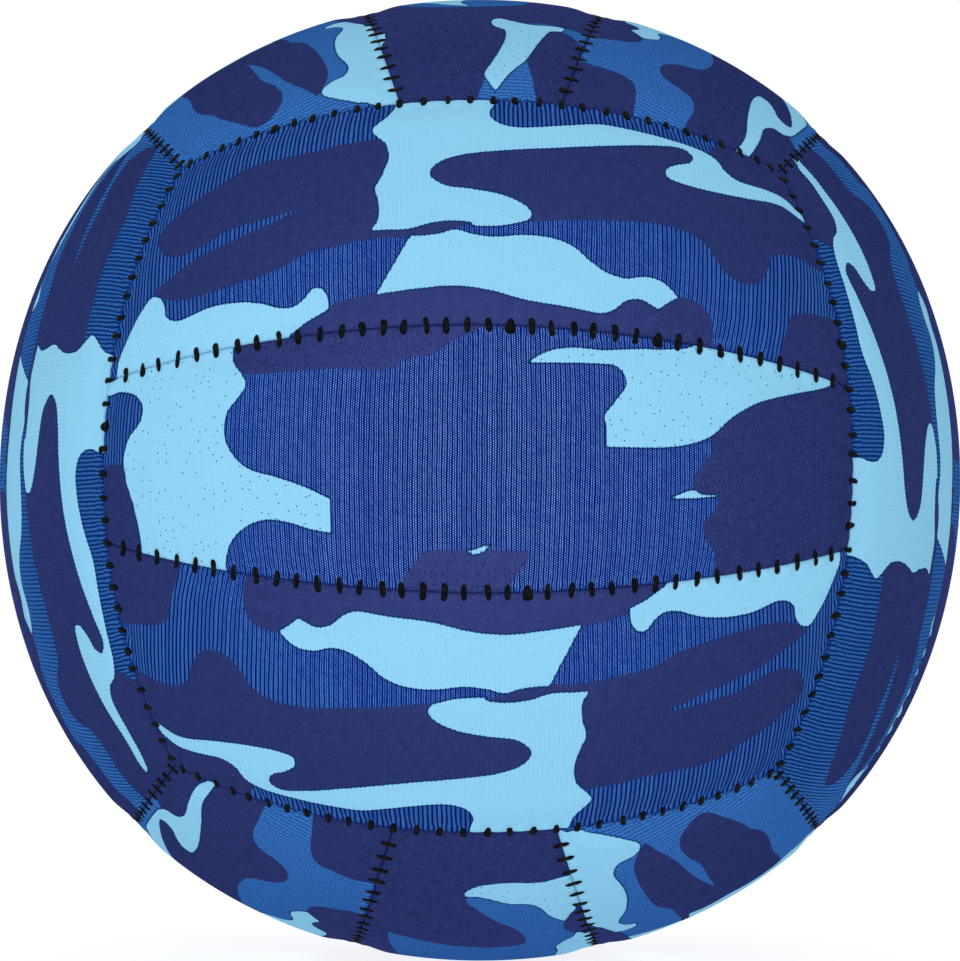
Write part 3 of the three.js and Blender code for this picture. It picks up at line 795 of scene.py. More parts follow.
def smooth_outline(points, steps=10):
    """A closed outline through the points: smooth, apart from the corners that are marked."""
    places = np.array([p[:2] for p in points], float)
    sharp = [len(p) > 2 for p in points]
    count = len(points)
    t = np.linspace(0, 1, steps, endpoint=False)[:, None]
    out = []
    for i in range(count):
        a, b = places[i], places[(i + 1) % count]
        before = 2 * a - b if sharp[i] else places[i - 1]
        after = 2 * b - a if sharp[(i + 1) % count] else places[(i + 2) % count]
        d0, d1, d2 = (math.sqrt(math.dist(p, q)) for p, q in ((before, a), (a, b), (b, after)))
        slope_a = (a - before) / d0 - (b - before) / (d0 + d1) + (b - a) / d1
        slope_b = (b - a) / d1 - (after - a) / (d1 + d2) + (after - b) / d2
        slope_a, slope_b = slope_a * d1, slope_b * d1
        t2, t3 = t * t, t * t * t
        out.append((2 * t3 - 3 * t2 + 1) * a + (t3 - 2 * t2 + t) * slope_a
                   + (3 * t2 - 2 * t3) * b + (t3 - t2) * slope_b)
    return np.concatenate(out)


# Millimetres beyond which the distance to the print isn't followed, and places handled at a time.
FAR_AWAY = 3.0
BATCH = 1200
TINY = 1e-12


def distance_to(outlines, places):
    """Millimetres from each place to the nearest of the outlines, negative inside one."""
    result = np.full(len(places), FAR_AWAY)
    order = np.argsort(places[:, 0])
    loops = [(loop, np.roll(loop, -1, axis=0)) for loop in outlines]
    for start in range(0, len(order), BATCH):
        chunk = order[start : start + BATCH]
        x, y = places[chunk, 0:1], places[chunk, 1:2]
        low, high = x.min() - FAR_AWAY, x.max() + FAR_AWAY
        for a, b in loops:
            near = (np.maximum(a[:, 0], b[:, 0]) >= low) & (np.minimum(a[:, 0], b[:, 0]) <= high)
            if not near.any():
                continue
            ax, ay, bx, by = a[near, 0], a[near, 1], b[near, 0], b[near, 1]
            crosses = (ax <= x) != (bx <= x)
            run = np.where(bx == ax, 1, bx - ax)
            above = ay + (by - ay) * (x - ax) / run > y
            inside = (crosses & above).sum(axis=1) % 2 == 1
            dx, dy = bx - ax, by - ay
            t = np.clip(((x - ax) * dx + (y - ay) * dy) / (dx * dx + dy * dy + TINY), 0, 1)
            gap = np.sqrt(((x - ax - t * dx) ** 2 + (y - ay - t * dy) ** 2).min(axis=1))
            result[chunk] = np.minimum(result[chunk], np.where(inside, -gap, gap))
    return np.clip(result, -FAR_AWAY, FAR_AWAY)


def panel_name(face, strip):
    return f"{face}_{FACES[face][4][strip + 1]}"


def print_distances(directions, face, strip):
    """How far each place of a panel is from the light and from the dark parts of its print."""
    kind = "outer" if strip else "front" if face in ("front", "back") else "side"
    shift_u, shift_v, degrees = CUTS.get(panel_name(face, strip), (0, 0, 0))
    places = cloth_places(directions, face, strip) * (strip or 1) - (shift_u, shift_v)
    c, s = math.cos(math.radians(degrees)), math.sin(math.radians(degrees))
    places = places @ np.array([[c, -s], [s, c]])
    return [distance_to([smooth_outline(o) for o in layer], places) for layer in PRINTS[kind]]


# How far a stitch draws the print along its seam, in millimetres, and how far the pull of the first and
# last stitches reaches, in stitches. A pucker's reach, and the place and reach of the strained knit round
# it, are shares of the pucker's place.
STITCH_DRAW = 0.22
END_REACH = 0.8
PUCKER_REACH, STRAIN_PLACE, STRAIN_REACH = 0.75, 1.25, 0.35


class Edge:
    """What one seam does to the cloth beside it, at distances from it and stitches along it."""

    def __init__(self, distance, phase, count, cover):
        inside = np.clip(phase + END_REACH, 0, 1) * np.clip(count - 1 + END_REACH - phase, 0, 1)
        wave = 2 * math.pi * phase
        at_stitch = inside * (0.5 + 0.5 * np.cos(wave)) ** 2
        rolled = np.clip(1 - distance / (cover.roll_width + cover.notch_width * at_stitch), 0, 1)
        self.roll = cover.roll_depth * (1 - np.sqrt(1 - rolled**2))
        fall = np.clip(1 - distance / cover.shoulder_width, 0, 1)
        self.shoulder = cover.shoulder_depth * fall**2 * (3 - 2 * fall)
        place = distance / cover.pucker_place
        reach = np.exp(-(((place - 1) / PUCKER_REACH) ** 2))
        self.pucker = cover.pucker_depth * reach * inside * np.cos(wave)
        self.drawn = STITCH_DRAW * reach * inside * np.sin(wave)
        self.strain = np.exp(-(((place - STRAIN_PLACE) / STRAIN_REACH) ** 2)) * at_stitch**2


def zip_rows(outer, inner, outer_marks, inner_marks):
    """Triangles between two closed rows of points, matched by marks that grow along each row."""
    faces = []
    i = j = 0
    while i < len(outer) or j < len(inner):
        a, b = outer[i % len(outer)], inner[j % len(inner)]
        if j >= len(inner) or (i < len(outer) and outer_marks[i + 1] <= inner_marks[j + 1]):
            i += 1
            faces.append((a, outer[i % len(outer)], b))
        else:
            j += 1
            faces.append((a, inner[j % len(inner)], b))
    return faces


def zip_loops(outer, inner):
    """The same for two rows with even spacing."""
    return zip_rows(outer, inner, *(np.arange(len(row) + 1) / len(row) for row in (outer, inner)))


def flipped(faces):
    return [tuple(reversed(face)) for face in faces]


def grid_index(rows, columns, start=0):
    return np.arange(rows * columns).reshape(rows, columns) + start


def grid_border(rows, columns):
    """Indices round the border of a grid, anticlockwise from its first point."""
    index = grid_index(rows, columns)
    return np.concatenate([index[0, :-1], index[:-1, -1], index[-1, :0:-1], index[:0:-1, 0]]).tolist()


def grid_quads(rows, columns, start=0):
    index = grid_index(rows, columns, start)
    quads = np.stack([index[:-1, :-1], index[:-1, 1:], index[1:, 1:], index[1:, :-1]], axis=-1)
    return quads.reshape(-1, 4)


# Points along and across a panel's lining, how clearly the ribs show away from the front and back, the
# share of the radius over which they grow clearer, and how far from a face's middle the knit is stretched
# and painted lighter as a frontal sheen.
LINING_LONG, LINING_SHORT = 13, 5
# Where the ribs show less, the medium blue is painted paler as a sheen, with painted shade between ribs.
TOP_RIBS, SIDE_RIBS, SIDE_FADE = 0.2, 0.3, 0.3
STRETCH_AND_SHEEN_REACH = math.radians(25)


def rib_strength(face, points):
    """How clearly the ribs show: fully on the front and back, and less elsewhere, under painted sheen and
    shade.
    """
    if face in ("top", "bottom"):
        return np.full(len(points), TOP_RIBS)
    if face in ("front", "back"):
        return np.ones(len(points))
    share = np.clip((abs(points[:, 1]) / BALL_RADIUS - SIDE_FADE) / SIDE_FADE, 0, 1)
    return SIDE_RIBS * (1 + share * share * (3 - 2 * share))


# How much closer the ribs lie on the sides, which are stretched less along their strips, and the CAD's gap
# from the middle of a seam to a turned-in edge.
SIDE_RIB_CLOSENESS = 1.07
EDGE_CLEARANCE = 0.15 * MM


def panel_mesh(face, strip, seams, cover):
    """One panel: its fine outer surface, its turned-in edges and its coarse lining."""
    sides = panel_sides(face, strip, SEAM_POINTS, END_POINTS)
    lines = inset_sides({key: line for key, (line, _) in sides.items()}, cover.seam_gap / 2)

    # The outer surface
    mean_width = width_between(lines["low"][SEAM_POINTS // 2], lines["high"][SEAM_POINTS // 2])
    mean_length = width_between(lines["near"][END_POINTS // 2], lines["far"][END_POINTS // 2])
    both_edges = 2 * EDGE_ROWS[-1]
    inner_rows = int((mean_width - both_edges) / cover.mesh_step)
    inner_columns = int((mean_length - both_edges) / cover.mesh_step)
    middle_u = shares_across(np.array([mean_length]), inner_columns)[0]
    middle_v = shares_across(np.array([mean_width]), inner_rows)[0]
    width = width_between(along_line(lines["low"], middle_u), along_line(lines["high"], middle_u))
    length = width_between(along_line(lines["near"], middle_v), along_line(lines["far"], middle_v))
    v = shares_across(width, inner_rows).T
    u = shares_across(length, inner_columns)
    rows, columns = u.shape
    directions = patch(lines, u, v)
    distances = {"low": v * width, "high": (1 - v) * width}
    distances |= {"near": u * length[:, None], "far": (1 - u) * length[:, None]}
    edges = {}
    for key, distance in distances.items():
        seam = seams[sides[key][1]]
        phase = seam.phase(along_line(sides[key][0], u if key in ("low", "high") else v))
        edges[key] = Edge(distance, phase, seam.count, cover)
    roll, shoulder, strain = (
        np.max([getattr(edge, key) for edge in edges.values()], axis=0)
        for key in ("roll", "shoulder", "strain")
    )
    depth = roll + shoulder + sum(edge.pucker for edge in edges.values())
    to_seam = np.min(list(distances.values()), axis=0) / MM
    along = FACES[face][1]
    drawn = sum(edges[key].drawn * np.sign(seams[sides[key][1]].along @ along) for key in ("low", "high"))
    directions = directions.reshape(-1, 3)
    depth = depth.ravel()
    quads = grid_quads(rows, columns)
    hole = None
    if face == "back" and strip == 0:
        directions, depth, quads, hole = open_valve_hole(directions, depth, quads)
    places = cloth_places(directions, face, strip)
    places[: rows * columns, 0] += drawn.ravel()
    to_light, to_dark = print_distances(directions, face, strip)
    if face in ("left", "right"):
        places[:, 0] *= SIDE_RIB_CLOSENESS
    points = directions * (skin_radius(directions) - depth)[:, None]

    # The turned-in edges and the lining
    coarse = {key: line for key, (line, _) in panel_sides(face, strip, LINING_LONG, LINING_SHORT).items()}
    outer_edge = inset_sides(coarse, EDGE_CLEARANCE)
    inner_edge = inset_sides(coarse, EDGE_CLEARANCE + PANEL_THICKNESS)
    grid_u, grid_v = np.meshgrid(np.linspace(0, 1, LINING_LONG), np.linspace(0, 1, LINING_SHORT))
    faces = [tuple(q) for q in quads.tolist()]
    layers = [points]
    loop = grid_border(rows, columns)
    fold = PANEL_THICKNESS + SEAM_ALLOWANCE
    ring = grid_border(LINING_SHORT, LINING_LONG)
    start = len(points)
    for edge_lines in (outer_edge, inner_edge):
        rim = patch(edge_lines, grid_u, grid_v).reshape(-1, 3)[ring]
        layers.append(rim * (skin_radius(rim) - fold)[:, None])
        new_loop = list(range(start, start + len(ring)))
        faces += flipped(zip_loops(loop, new_loop))
        loop = new_loop
        start += len(ring)
    lining = patch(inner_edge, grid_u, grid_v).reshape(-1, 3)
    lining_points = lining * (skin_radius(lining) - PANEL_THICKNESS)[:, None]
    faces += flipped(zip_loops(loop, [i + start for i in ring]))
    lining_quads = grid_quads(LINING_SHORT, LINING_LONG, start)
    if hole:
        lining_points, lining_faces = lining_with_hole(lining_points, lining_quads, start, hole, points)
        faces += lining_faces
    else:
        faces += flipped(lining_quads.tolist())
    layers.append(lining_points)
    points = np.concatenate(layers)

    def filled(values, rest):
        """Values on the first points, and one number on the rest."""
        return np.concatenate([values.ravel(), np.full(len(points) - values.size, rest)])

    places = np.concatenate([places, np.zeros((len(points) - len(places), 2))])
    angle = np.arccos(np.clip(unit(points) @ FACES[face][0], -1, 1))
    values = {
        "to_light": filled(to_light, FAR_AWAY), "to_dark": filled(to_dark, FAR_AWAY),
        # Nearness to the face's middle: the knit's stretch and the reach of its painted frontal sheen.
        "stretch_and_sheen": np.exp(-((angle / STRETCH_AND_SHEEN_REACH) ** 2)), "strain": filled(strain, 0),
        "to_seam": filled(to_seam, FAR_AWAY), "ribs": rib_strength(face, points),
        "middle_panel": np.full(len(points), float(strip == 0)),
    }
    return cloth_mesh(f"knit_{panel_name(face, strip)}", points, faces, places, values)


def cloth_mesh(name, points, faces, places, values):
    """A panel's mesh with its flat coordinates."""
    mesh = smooth_mesh(name, points.tolist(), faces, values)
    uv = mesh.uv_layers.new(name="cloth")
    corner_points = np.empty(len(mesh.loops), dtype=np.int32)
    mesh.loops.foreach_get("vertex_index", corner_points)
    uv.data.foreach_set("uv", (places[corner_points] / UV_SPAN + 0.5).ravel())
    mesh.validate()
    return mesh


# Points round the valve's hole, how much wider the cut is before the rim is built, in the surface and in
# the lining, and the rolled rim's rings in millimetres: out from the hole, and down from the skin.
HOLE_STEPS = 48
CUT_MARGIN, LINING_MARGIN = 1.3 * MM, 1 * MM
RIM = ((0.75, 0), (0.45, 0.05), (0.2, 0.2), (0.05, 0.45), (0, 0.8))


def hole_ring(radius):
    """Directions of a circle round the valve, in the sense of a panel seen from outside."""
    turn = np.linspace(0, 2 * math.pi, HOLE_STEPS, endpoint=False)
    ball = np.full(HOLE_STEPS, BALL_RADIUS)
    ring = np.stack([-np.cos(turn) * radius, ball, np.sin(turn) * radius], axis=1)
    return unit(ring)


def valve_distance(directions):
    """How far from the valve's axis places on the back of the ball are."""
    return BALL_RADIUS * np.hypot(directions[:, 0], directions[:, 2])


def edge_of_cut(quads, cut):
    """The points that the faces cut away share with the faces kept."""
    return sorted(set(quads[cut].ravel()) & set(quads[~cut].ravel()))


def open_valve_hole(directions, depth, quads):
    """Cuts the valve's hole out of the back middle panel's outer surface, with a rolled rim."""
    cut = (valve_distance(directions)[quads] < VALVE_HOLE_RADIUS + CUT_MARGIN).any(axis=1)
    rows = [edge_of_cut(quads, cut)]
    for out, down in RIM:
        rows.append(list(range(len(directions), len(directions) + HOLE_STEPS)))
        directions = np.concatenate([directions, hole_ring(VALVE_HOLE_RADIUS + out * MM)])
        depth = np.concatenate([depth, np.full(HOLE_STEPS, down * MM)])
    return directions, depth, quads[~cut], rows


def lining_with_hole(points, quads, start, rows, outer_points):
    """Joins the hole's rim through the panel to the lining: the lining's points, and the new faces."""
    below = hole_ring(VALVE_HOLE_RADIUS)
    below_points = below * (skin_radius(below) - PANEL_THICKNESS)[:, None]
    cut = (valve_distance(unit(points))[quads - start] < VALVE_HOLE_RADIUS + LINING_MARGIN).any(axis=1)
    end = start + len(points)
    rows = rows + [list(range(end, end + HOLE_STEPS)), edge_of_cut(quads, cut)]
    between = np.zeros((start - len(outer_points), 3))
    everything = np.concatenate([outer_points, between, points, below_points])
    faces = []
    for row, after in zip(rows, rows[1:]):
        faces += zip_round_valve(row, after, everything)
    return np.concatenate([points, below_points]), faces + flipped(quads[~cut].tolist())


def zip_round_valve(outer, inner, points):
    """Triangles between two rows of points round the valve, matched by their angle."""

    def angle(i):
        return math.atan2(points[i][2], -points[i][0]) % (2 * math.pi)

    rows = [sorted(row, key=angle) for row in (outer, inner)]
    marks = [[angle(i) for i in row] + [angle(row[0]) + 2 * math.pi] for row in rows]
    return zip_rows(*rows, *marks)


# Stitches


# Along a stitch that runs from -1 to 1: the reach of its waist and of the painted highlight at its middle,
# how far the waist and the ends drop, its least size, and its thread's turns from the middle to an end.
RUNG_STEPS, RUNG_SIDES = 10, 8
WAIST_REACH, GLINT_REACH = 0.25, 0.55
WAIST_DROP, END_DROP = 0.1, 0.55
LEAST_SIZE = 0.05
TWIST_TURNS = 1.6
RUNG_SHAPES = (
    # how much fuller the far lobe is, how deep the waist, how far the middle bends, how blunt each end
    (0.0, 0.14, 0.0, 0.5, 0.5),
    (0.16, 0.22, 0.1, 0.45, 0.9),
    (-0.18, 0.16, -0.12, 0.9, 0.45),
    (0.05, 0.3, 0.14, 0.6, 0.5),
    (-0.12, 0.08, -0.06, 0.55, 1.1),
    (-0.7, 0.12, 0.0, 0.6, 0.4),
)


def rung_mesh(name, fuller, waist_depth, bend, far_end, near_end):
    """One stitch across a seam, one unit long, wide and high: two lobes whose ends dive into the knit."""
    points, twists, glint_weights = [], [], []
    for s in np.sin(np.linspace(-math.pi / 2, math.pi / 2, RUNG_STEPS + 1)):
        waist = math.exp(-((s / WAIST_REACH) ** 2))
        blunt = far_end if s > 0 else near_end
        size = max(LEAST_SIZE, (1 - abs(s) ** 2.4) ** blunt) * (1 + fuller * s) * (1 - waist_depth * waist)
        lower = WAIST_DROP * waist + END_DROP * abs(s) ** 4
        for k in range(RUNG_SIDES):
            turn = 2 * math.pi * k / RUNG_SIDES
            points.append((bend * (1 - s * s) + math.cos(turn) * size / 2, s / 2,
                           math.sin(turn) * min(size, 1) / 2 - lower))
            twists.append(s * TWIST_TURNS + k / RUNG_SIDES)
            # Weight of the painted highlight, strongest at the stitch's middle.
            glint_weights.append(math.exp(-((s / GLINT_REACH) ** 2)))
    faces = []
    for i in range(RUNG_STEPS):
        for k in range(RUNG_SIDES):
            a, b = i * RUNG_SIDES + k, i * RUNG_SIDES + (k + 1) % RUNG_SIDES
            faces.append((a, a + RUNG_SIDES, b + RUNG_SIDES, b))
    last = RUNG_STEPS * RUNG_SIDES
    faces.append(tuple(range(RUNG_SIDES)))
    faces.append(tuple(last + k for k in reversed(range(RUNG_SIDES))))
    return smooth_mesh(name, points, faces, {"twist": twists, "waist": glint_weights})


def stitch_tree(material, rungs):
    """Geometry Nodes: rungs along a seam's line, and the lacing below it that joins them."""
    tree = bpy.data.node_groups.new("Seam stitches", "GeometryNodeTree")
    sizes = ("Width", "Length", "Height")
    numbers = (*sizes, "Size spread", "Turn spread", "Lacing", "Lacing depth", "Knot share")
    kinds = {"Seam": "Geometry"} | dict.fromkeys(numbers, "Float") | {"Seed": "Int"}
    for name, kind in kinds.items():
        tree.interface.new_socket(name=name, in_out="INPUT", socket_type=f"NodeSocket{kind}")
    tree.interface.new_socket(name="Stitches", in_out="OUTPUT", socket_type="NodeSocketGeometry")
    given = tree.nodes.new("NodeGroupInput").outputs
    seed = given["Seed"]

    def random(low, high, offset, kind="FLOAT"):
        first, second, output = {"FLOAT": (2, 3, 1), "INT": (4, 5, 2)}[kind]
        values = {first: low, second: high, "Seed": Field(tree, seed) * 7 + offset}
        return field(tree, "FunctionNodeRandomValue", output, {"data_type": kind}, values)

    fullness = field(tree, "GeometryNodeInputRadius", 0)
    position = add_node(tree, "GeometryNodeInputPosition").outputs[0]
    outwards = add_node(tree, "ShaderNodeVectorMath", {"operation": "NORMALIZE"}, {0: position}).outputs[0]
    spots = add_node(tree, "GeometryNodeCurveToPoints", {"mode": "EVALUATED"}, {"Curve": given["Seam"]})
    tangent = spots.outputs["Tangent"]
    upright = add_node(tree, "FunctionNodeAlignRotationToVector", {"axis": "Z"}, {"Vector": outwards})
    square = add_node(tree, "FunctionNodeAlignRotationToVector", {"axis": "X", "pivot_axis": "Z"},
                      {"Rotation": upright.outputs[0], "Vector": tangent})
    turn_spread = Field(tree, given["Turn spread"])
    turned = add_node(tree, "FunctionNodeAxisAngleToRotation", None, {
        "Axis": (0.0, 0.0, 1.0), "Angle": random(turn_spread * -1, turn_spread, 1),
    })
    rotation = add_node(tree, "FunctionNodeRotateRotation", {"rotation_space": "LOCAL"},
                        {0: square.outputs[0], 1: turned.outputs[0]})
    spread = Field(tree, given["Size spread"])
    width, length, height = (
        random(1 - spread, 1 + spread, 2 + k) * Field(tree, given[key]) for k, key in enumerate(sizes)
    )
    scale = vector(tree, width * fullness, length, height * fullness)
    shapes = add_node(tree, "GeometryNodeCollectionInfo", {"transform_space": "RELATIVE"},
                      {"Collection": rungs, "Separate Children": True, "Reset Children": True})
    knotted = fullness > (END_FULLNESS + KNOT_FULLNESS) / 2
    plain = random(0, len(RUNG_SHAPES) - 2, 5, "INT")
    stray_knot = random(0.0, 1.0, 6) < Field(tree, given["Knot share"])
    either = stray_knot.at_least(knotted)
    choice = add_node(tree, "GeometryNodeSwitch", {"input_type": "INT"}, {
        "Switch": either, "False": plain, "True": len(RUNG_SHAPES) - 1,
    })
    copies = add_node(tree, "GeometryNodeInstanceOnPoints", None, {
        "Points": spots.outputs["Points"], "Instance": shapes.outputs[0], "Pick Instance": True,
        "Instance Index": choice.outputs[0], "Rotation": rotation.outputs[0], "Scale": scale,
    })
    sunk = add_node(tree, "ShaderNodeVectorMath", {"operation": "SCALE"}, {0: outwards})
    join(tree, Field(tree, given["Lacing depth"]) * -1, sunk.inputs["Scale"])
    path = add_node(tree, "GeometryNodeSetPosition", None,
                    {"Geometry": given["Seam"], "Offset": sunk.outputs[0]})
    round_wire = add_node(tree, "GeometryNodeCurvePrimitiveCircle", {"mode": "RADIUS"},
                          {"Resolution": 6, "Radius": Field(tree, given["Lacing"]) * 0.5})
    path = add_node(tree, "GeometryNodeSetCurveRadius", None, {"Curve": path.outputs[0], "Radius": 1.0})
    lacing = add_node(tree, "GeometryNodeCurveToMesh", None, {
        "Curve": path.outputs[0], "Profile Curve": round_wire.outputs[0], "Fill Caps": True,
    })
    joined = add_node(tree, "GeometryNodeJoinGeometry")
    for piece in (lacing, copies):
        tree.links.new(piece.outputs[0], joined.inputs[0])
    real = add_node(tree, "GeometryNodeRealizeInstances", None, {"Geometry": joined.outputs[0]})
    painted = add_node(tree, "GeometryNodeSetMaterial", None,
                       {"Geometry": real.outputs[0], "Material": material})
    add_node(tree, "NodeGroupOutput", None, {0: painted.outputs[0]})
    return tree


def socket_identifier(tree, name):
    return next(item.identifier for item in tree.interface.items_tree
                if item.in_out == "INPUT" and item.name == name)


def stitched_seam(name, line, fullness, depth, tree, values):
    """Runs the stitch tree on one seam's line and returns the result as a plain mesh object."""
    curve = bpy.data.curves.new(name + "_line", "CURVE")
    curve.dimensions = "3D"
    spline = curve.splines.new("POLY")
    points = line * (skin_radius(line) - depth)[:, None]
    spline.points.add(len(points) - 1)
    spline.points.foreach_set("co", np.hstack([points, np.ones((len(points), 1))]).ravel())
    spline.points.foreach_set("radius", fullness)
    source = place_object(name + "_line", curve)
    modifier = source.modifiers.new("Stitches", "NODES")
    modifier.node_group = tree
    for key, value in values.items():
        modifier[socket_identifier(tree, key)] = value
    bpy.context.view_layer.update()
    evaluated = source.evaluated_get(bpy.context.evaluated_depsgraph_get())
    mesh = bpy.data.meshes.new_from_object(evaluated)
    bpy.data.objects.remove(source)
    mesh.name = name
    return place_object(name, mesh)


def rounded(corners, steps=5):
    """A profile through (radius, height, rounding) corners, each rounded by that much, in millimetres."""
    points = [corners[0][:2]]
    for before, corner, after in zip(corners, corners[1:], corners[2:]):
        middle, rounding = np.array(corner[:2], float), corner[2]
        ends = []
        for other in (before, after):
            way = np.array(other[:2], float) - middle
            ends.append(middle + way * min(rounding / np.linalg.norm(way), 0.45))
        for t in np.linspace(0, 1, steps if rounding else 1):
            points.append(tuple(ends[0] * (1 - t) ** 2 + middle * 2 * t * (1 - t) + ends[1] * t * t))
    return points + [corners[-1][:2]]


TURN_STEPS = 64


def turned_mesh(name, profile):
    """A solid turned about the valve's axis from a profile in millimetres, which starts and ends on it."""
    rings = profile[1:-1]
    points = [(0, profile[0][1] * MM, 0), (0, profile[-1][1] * MM, 0)]
    for radius, height in rings:
        for turn in np.linspace(0, 2 * math.pi, TURN_STEPS, endpoint=False):
            points.append((math.cos(turn) * radius * MM, height * MM, math.sin(turn) * radius * MM))
    faces = []
    for k in range(TURN_STEPS):
        after = (k + 1) % TURN_STEPS
        for i in range(len(rings) - 1):
            a, b = 2 + i * TURN_STEPS + k, 2 + i * TURN_STEPS + after
            faces.append((a, a + TURN_STEPS, b + TURN_STEPS, b))
        last = 2 + (len(rings) - 1) * TURN_STEPS
        faces.append((0, 2 + k, 2 + after))
        faces.append((1, last + after, last + k))
    return smooth_mesh(name, points, faces)


def valve_seat_profile():
    """The boot moulded into the bladder: stem, flange under the cover, collar round the needle's hole."""

    def dome(depth, radius):
        return radius, math.sqrt((BALL_RADIUS / MM - depth) ** 2 - radius ** 2)

    face = BALL_RADIUS / MM - VALVE_RECESS
    seat = face - CORE_HEAD_HEIGHT - VALVE_CLEARANCE
    bore, head_bore = CORE_RADIUS + VALVE_CLEARANCE, CORE_HEAD_RADIUS + VALVE_CLEARANCE
    middle = (STEM_RADIUS + FLANGE_RADIUS) / 2
    floor = STEM_END + BORE_FLOOR
    return rounded([
        (0, STEM_END, 0), (STEM_RADIUS, STEM_END, 1.2), (*dome(FLANGE_UNDER, STEM_RADIUS), 0.8),
        (*dome(FLANGE_UNDER, middle), 0), (*dome(FLANGE_UNDER, FLANGE_RADIUS), 0.12),
        (*dome(FLANGE_TOP, FLANGE_RADIUS), 0.12), (*dome(FLANGE_TOP, middle), 0),
        (*dome(FLANGE_TOP, COLLAR_RADIUS), 0.4), (COLLAR_RADIUS, face, 0.35), (head_bore, face, 0.2),
        (head_bore, seat, 0.1), (bore, seat, 0.1), (bore, floor, 0.5), (0, floor, 0),
    ])


def valve_core_profile():
    """The self-sealing plug, with the dimple and the hole that the pump's needle goes into."""
    face = BALL_RADIUS / MM - VALVE_RECESS
    seat = face - CORE_HEAD_HEIGHT
    bottom = STEM_END + BORE_FLOOR + VALVE_CLEARANCE
    end = face - NEEDLE_DEPTH
    return rounded([
        (0, bottom, 0), (CORE_RADIUS, bottom, 0.5), (CORE_RADIUS, seat, 0.1),
        (CORE_HEAD_RADIUS, seat, 0.1), (CORE_HEAD_RADIUS, face, 0.35), (DIMPLE_RADIUS, face, 0.4),
        (DIMPLE_FLOOR_RADIUS, face - DIMPLE_DEPTH, 0.3), (NEEDLE_RADIUS, end, 0.1), (0, end, 0),
    ])


class PLAYBALL_OT_cover(bpy.types.Operator):
    """Builds the eighteen knit panels"""

    bl_idname = "playball.cover"
    bl_label = "Cover Panels"

    def execute(self, context):
        cover = context.scene.playball_cover
        seams = all_seams(context.scene.playball_stitch)
        material = knit_material(cover)
        for face in FACES:
            for strip in (-1, 0, 1):
                mesh = panel_mesh(face, strip, seams, cover)
                name = panel_name(face, strip)
                piece = place_object(f"knit_{name}", mesh)
                settle_piece(piece, f"{name}_panel", material)
        return {"FINISHED"}


# Where the thread is tied, by seam, in millimetres from the seam's middle.
KNOTS = {("front", 1): (7.6, 35.3), ("front", -1): (11,), ("front", "top"): (-42,), ("left", "front"): (8,),
         ("back", 1): (-20,), ("back", -1): (31,), ("right", "front"): (-27,)}


class PLAYBALL_OT_stitches(bpy.types.Operator):
    """Sews every seam with rungs of waxed thread"""

    bl_idname = "playball.stitches"
    bl_label = "Seam Stitches"

    def execute(self, context):
        stitch = context.scene.playball_stitch
        material = thread_material(stitch)
        rungs = bpy.data.collections.new("rungs")
        for number, shape in enumerate(RUNG_SHAPES):
            mesh = rung_mesh(f"rung_{number}", *shape)
            rungs.objects.link(bpy.data.objects.new(f"rung_{number}", mesh))
        tree = stitch_tree(material, rungs)
        for number, (key, seam) in enumerate(all_seams(stitch).items()):
            face, other = key
            if isinstance(other, str):
                name = f"{face}_{other}_seam"
                length = stitch.edge_length
            else:
                name = f"{face}_{FACES[face][4][other + 1]}_strip"
                length = stitch.strip_length
            values = {
                "Width": stitch.width, "Length": length, "Height": stitch.height,
                "Size spread": stitch.size_spread, "Turn spread": stitch.turn_spread,
                "Lacing": stitch.lacing, "Lacing depth": stitch.lacing_depth - stitch.sink,
                "Knot share": stitch.knot_share, "Seed": stitch.seed + number,
            }
            line, fullness = seam.stitch_places(), seam.fullness(KNOTS.get(key, ()))
            piece = stitched_seam(f"stitches_{name}", line, fullness, stitch.sink, tree, values)
            settle_piece(piece, f"{name}_thread", material)
        for rung in list(rungs.objects):
            bpy.data.objects.remove(rung)
        bpy.data.collections.remove(rungs)
        return {"FINISHED"}


class PLAYBALL_OT_rubber(bpy.types.Operator):
    """Gives the bladder and the valve their rubber"""

    bl_idname = "playball.rubber"
    bl_label = "Bladder and Valve"

    def execute(self, context):
        bladder = frame["nodes"]["bladder"].data.materials
        bladder.clear()
        bladder.append(rubber_material("bladder_rubber", "bladder", 0.5))
        valve = rubber_material("valve_rubber", "valve", 0.45)
        for node, profile in (("valve_seat", valve_seat_profile()), ("valve_core", valve_core_profile())):
            piece = place_object(f"rubber_{node}", turned_mesh(f"rubber_{node}", profile))
            settle_piece(piece, node, valve)
        return {"FINISHED"}


SENSOR_WIDTH = 36
# The floor's half width in metres, its grey, its glow, and how much more of that the camera sees.
FLOOR_REACH = 4.0
FLOOR_GREY = (0.3, 0.3, 0.3, 1)
FLOOR_GLOW, FLOOR_GLOW_SEEN = 0.63, 0.22
WHITE = (1, 1, 1, 1)


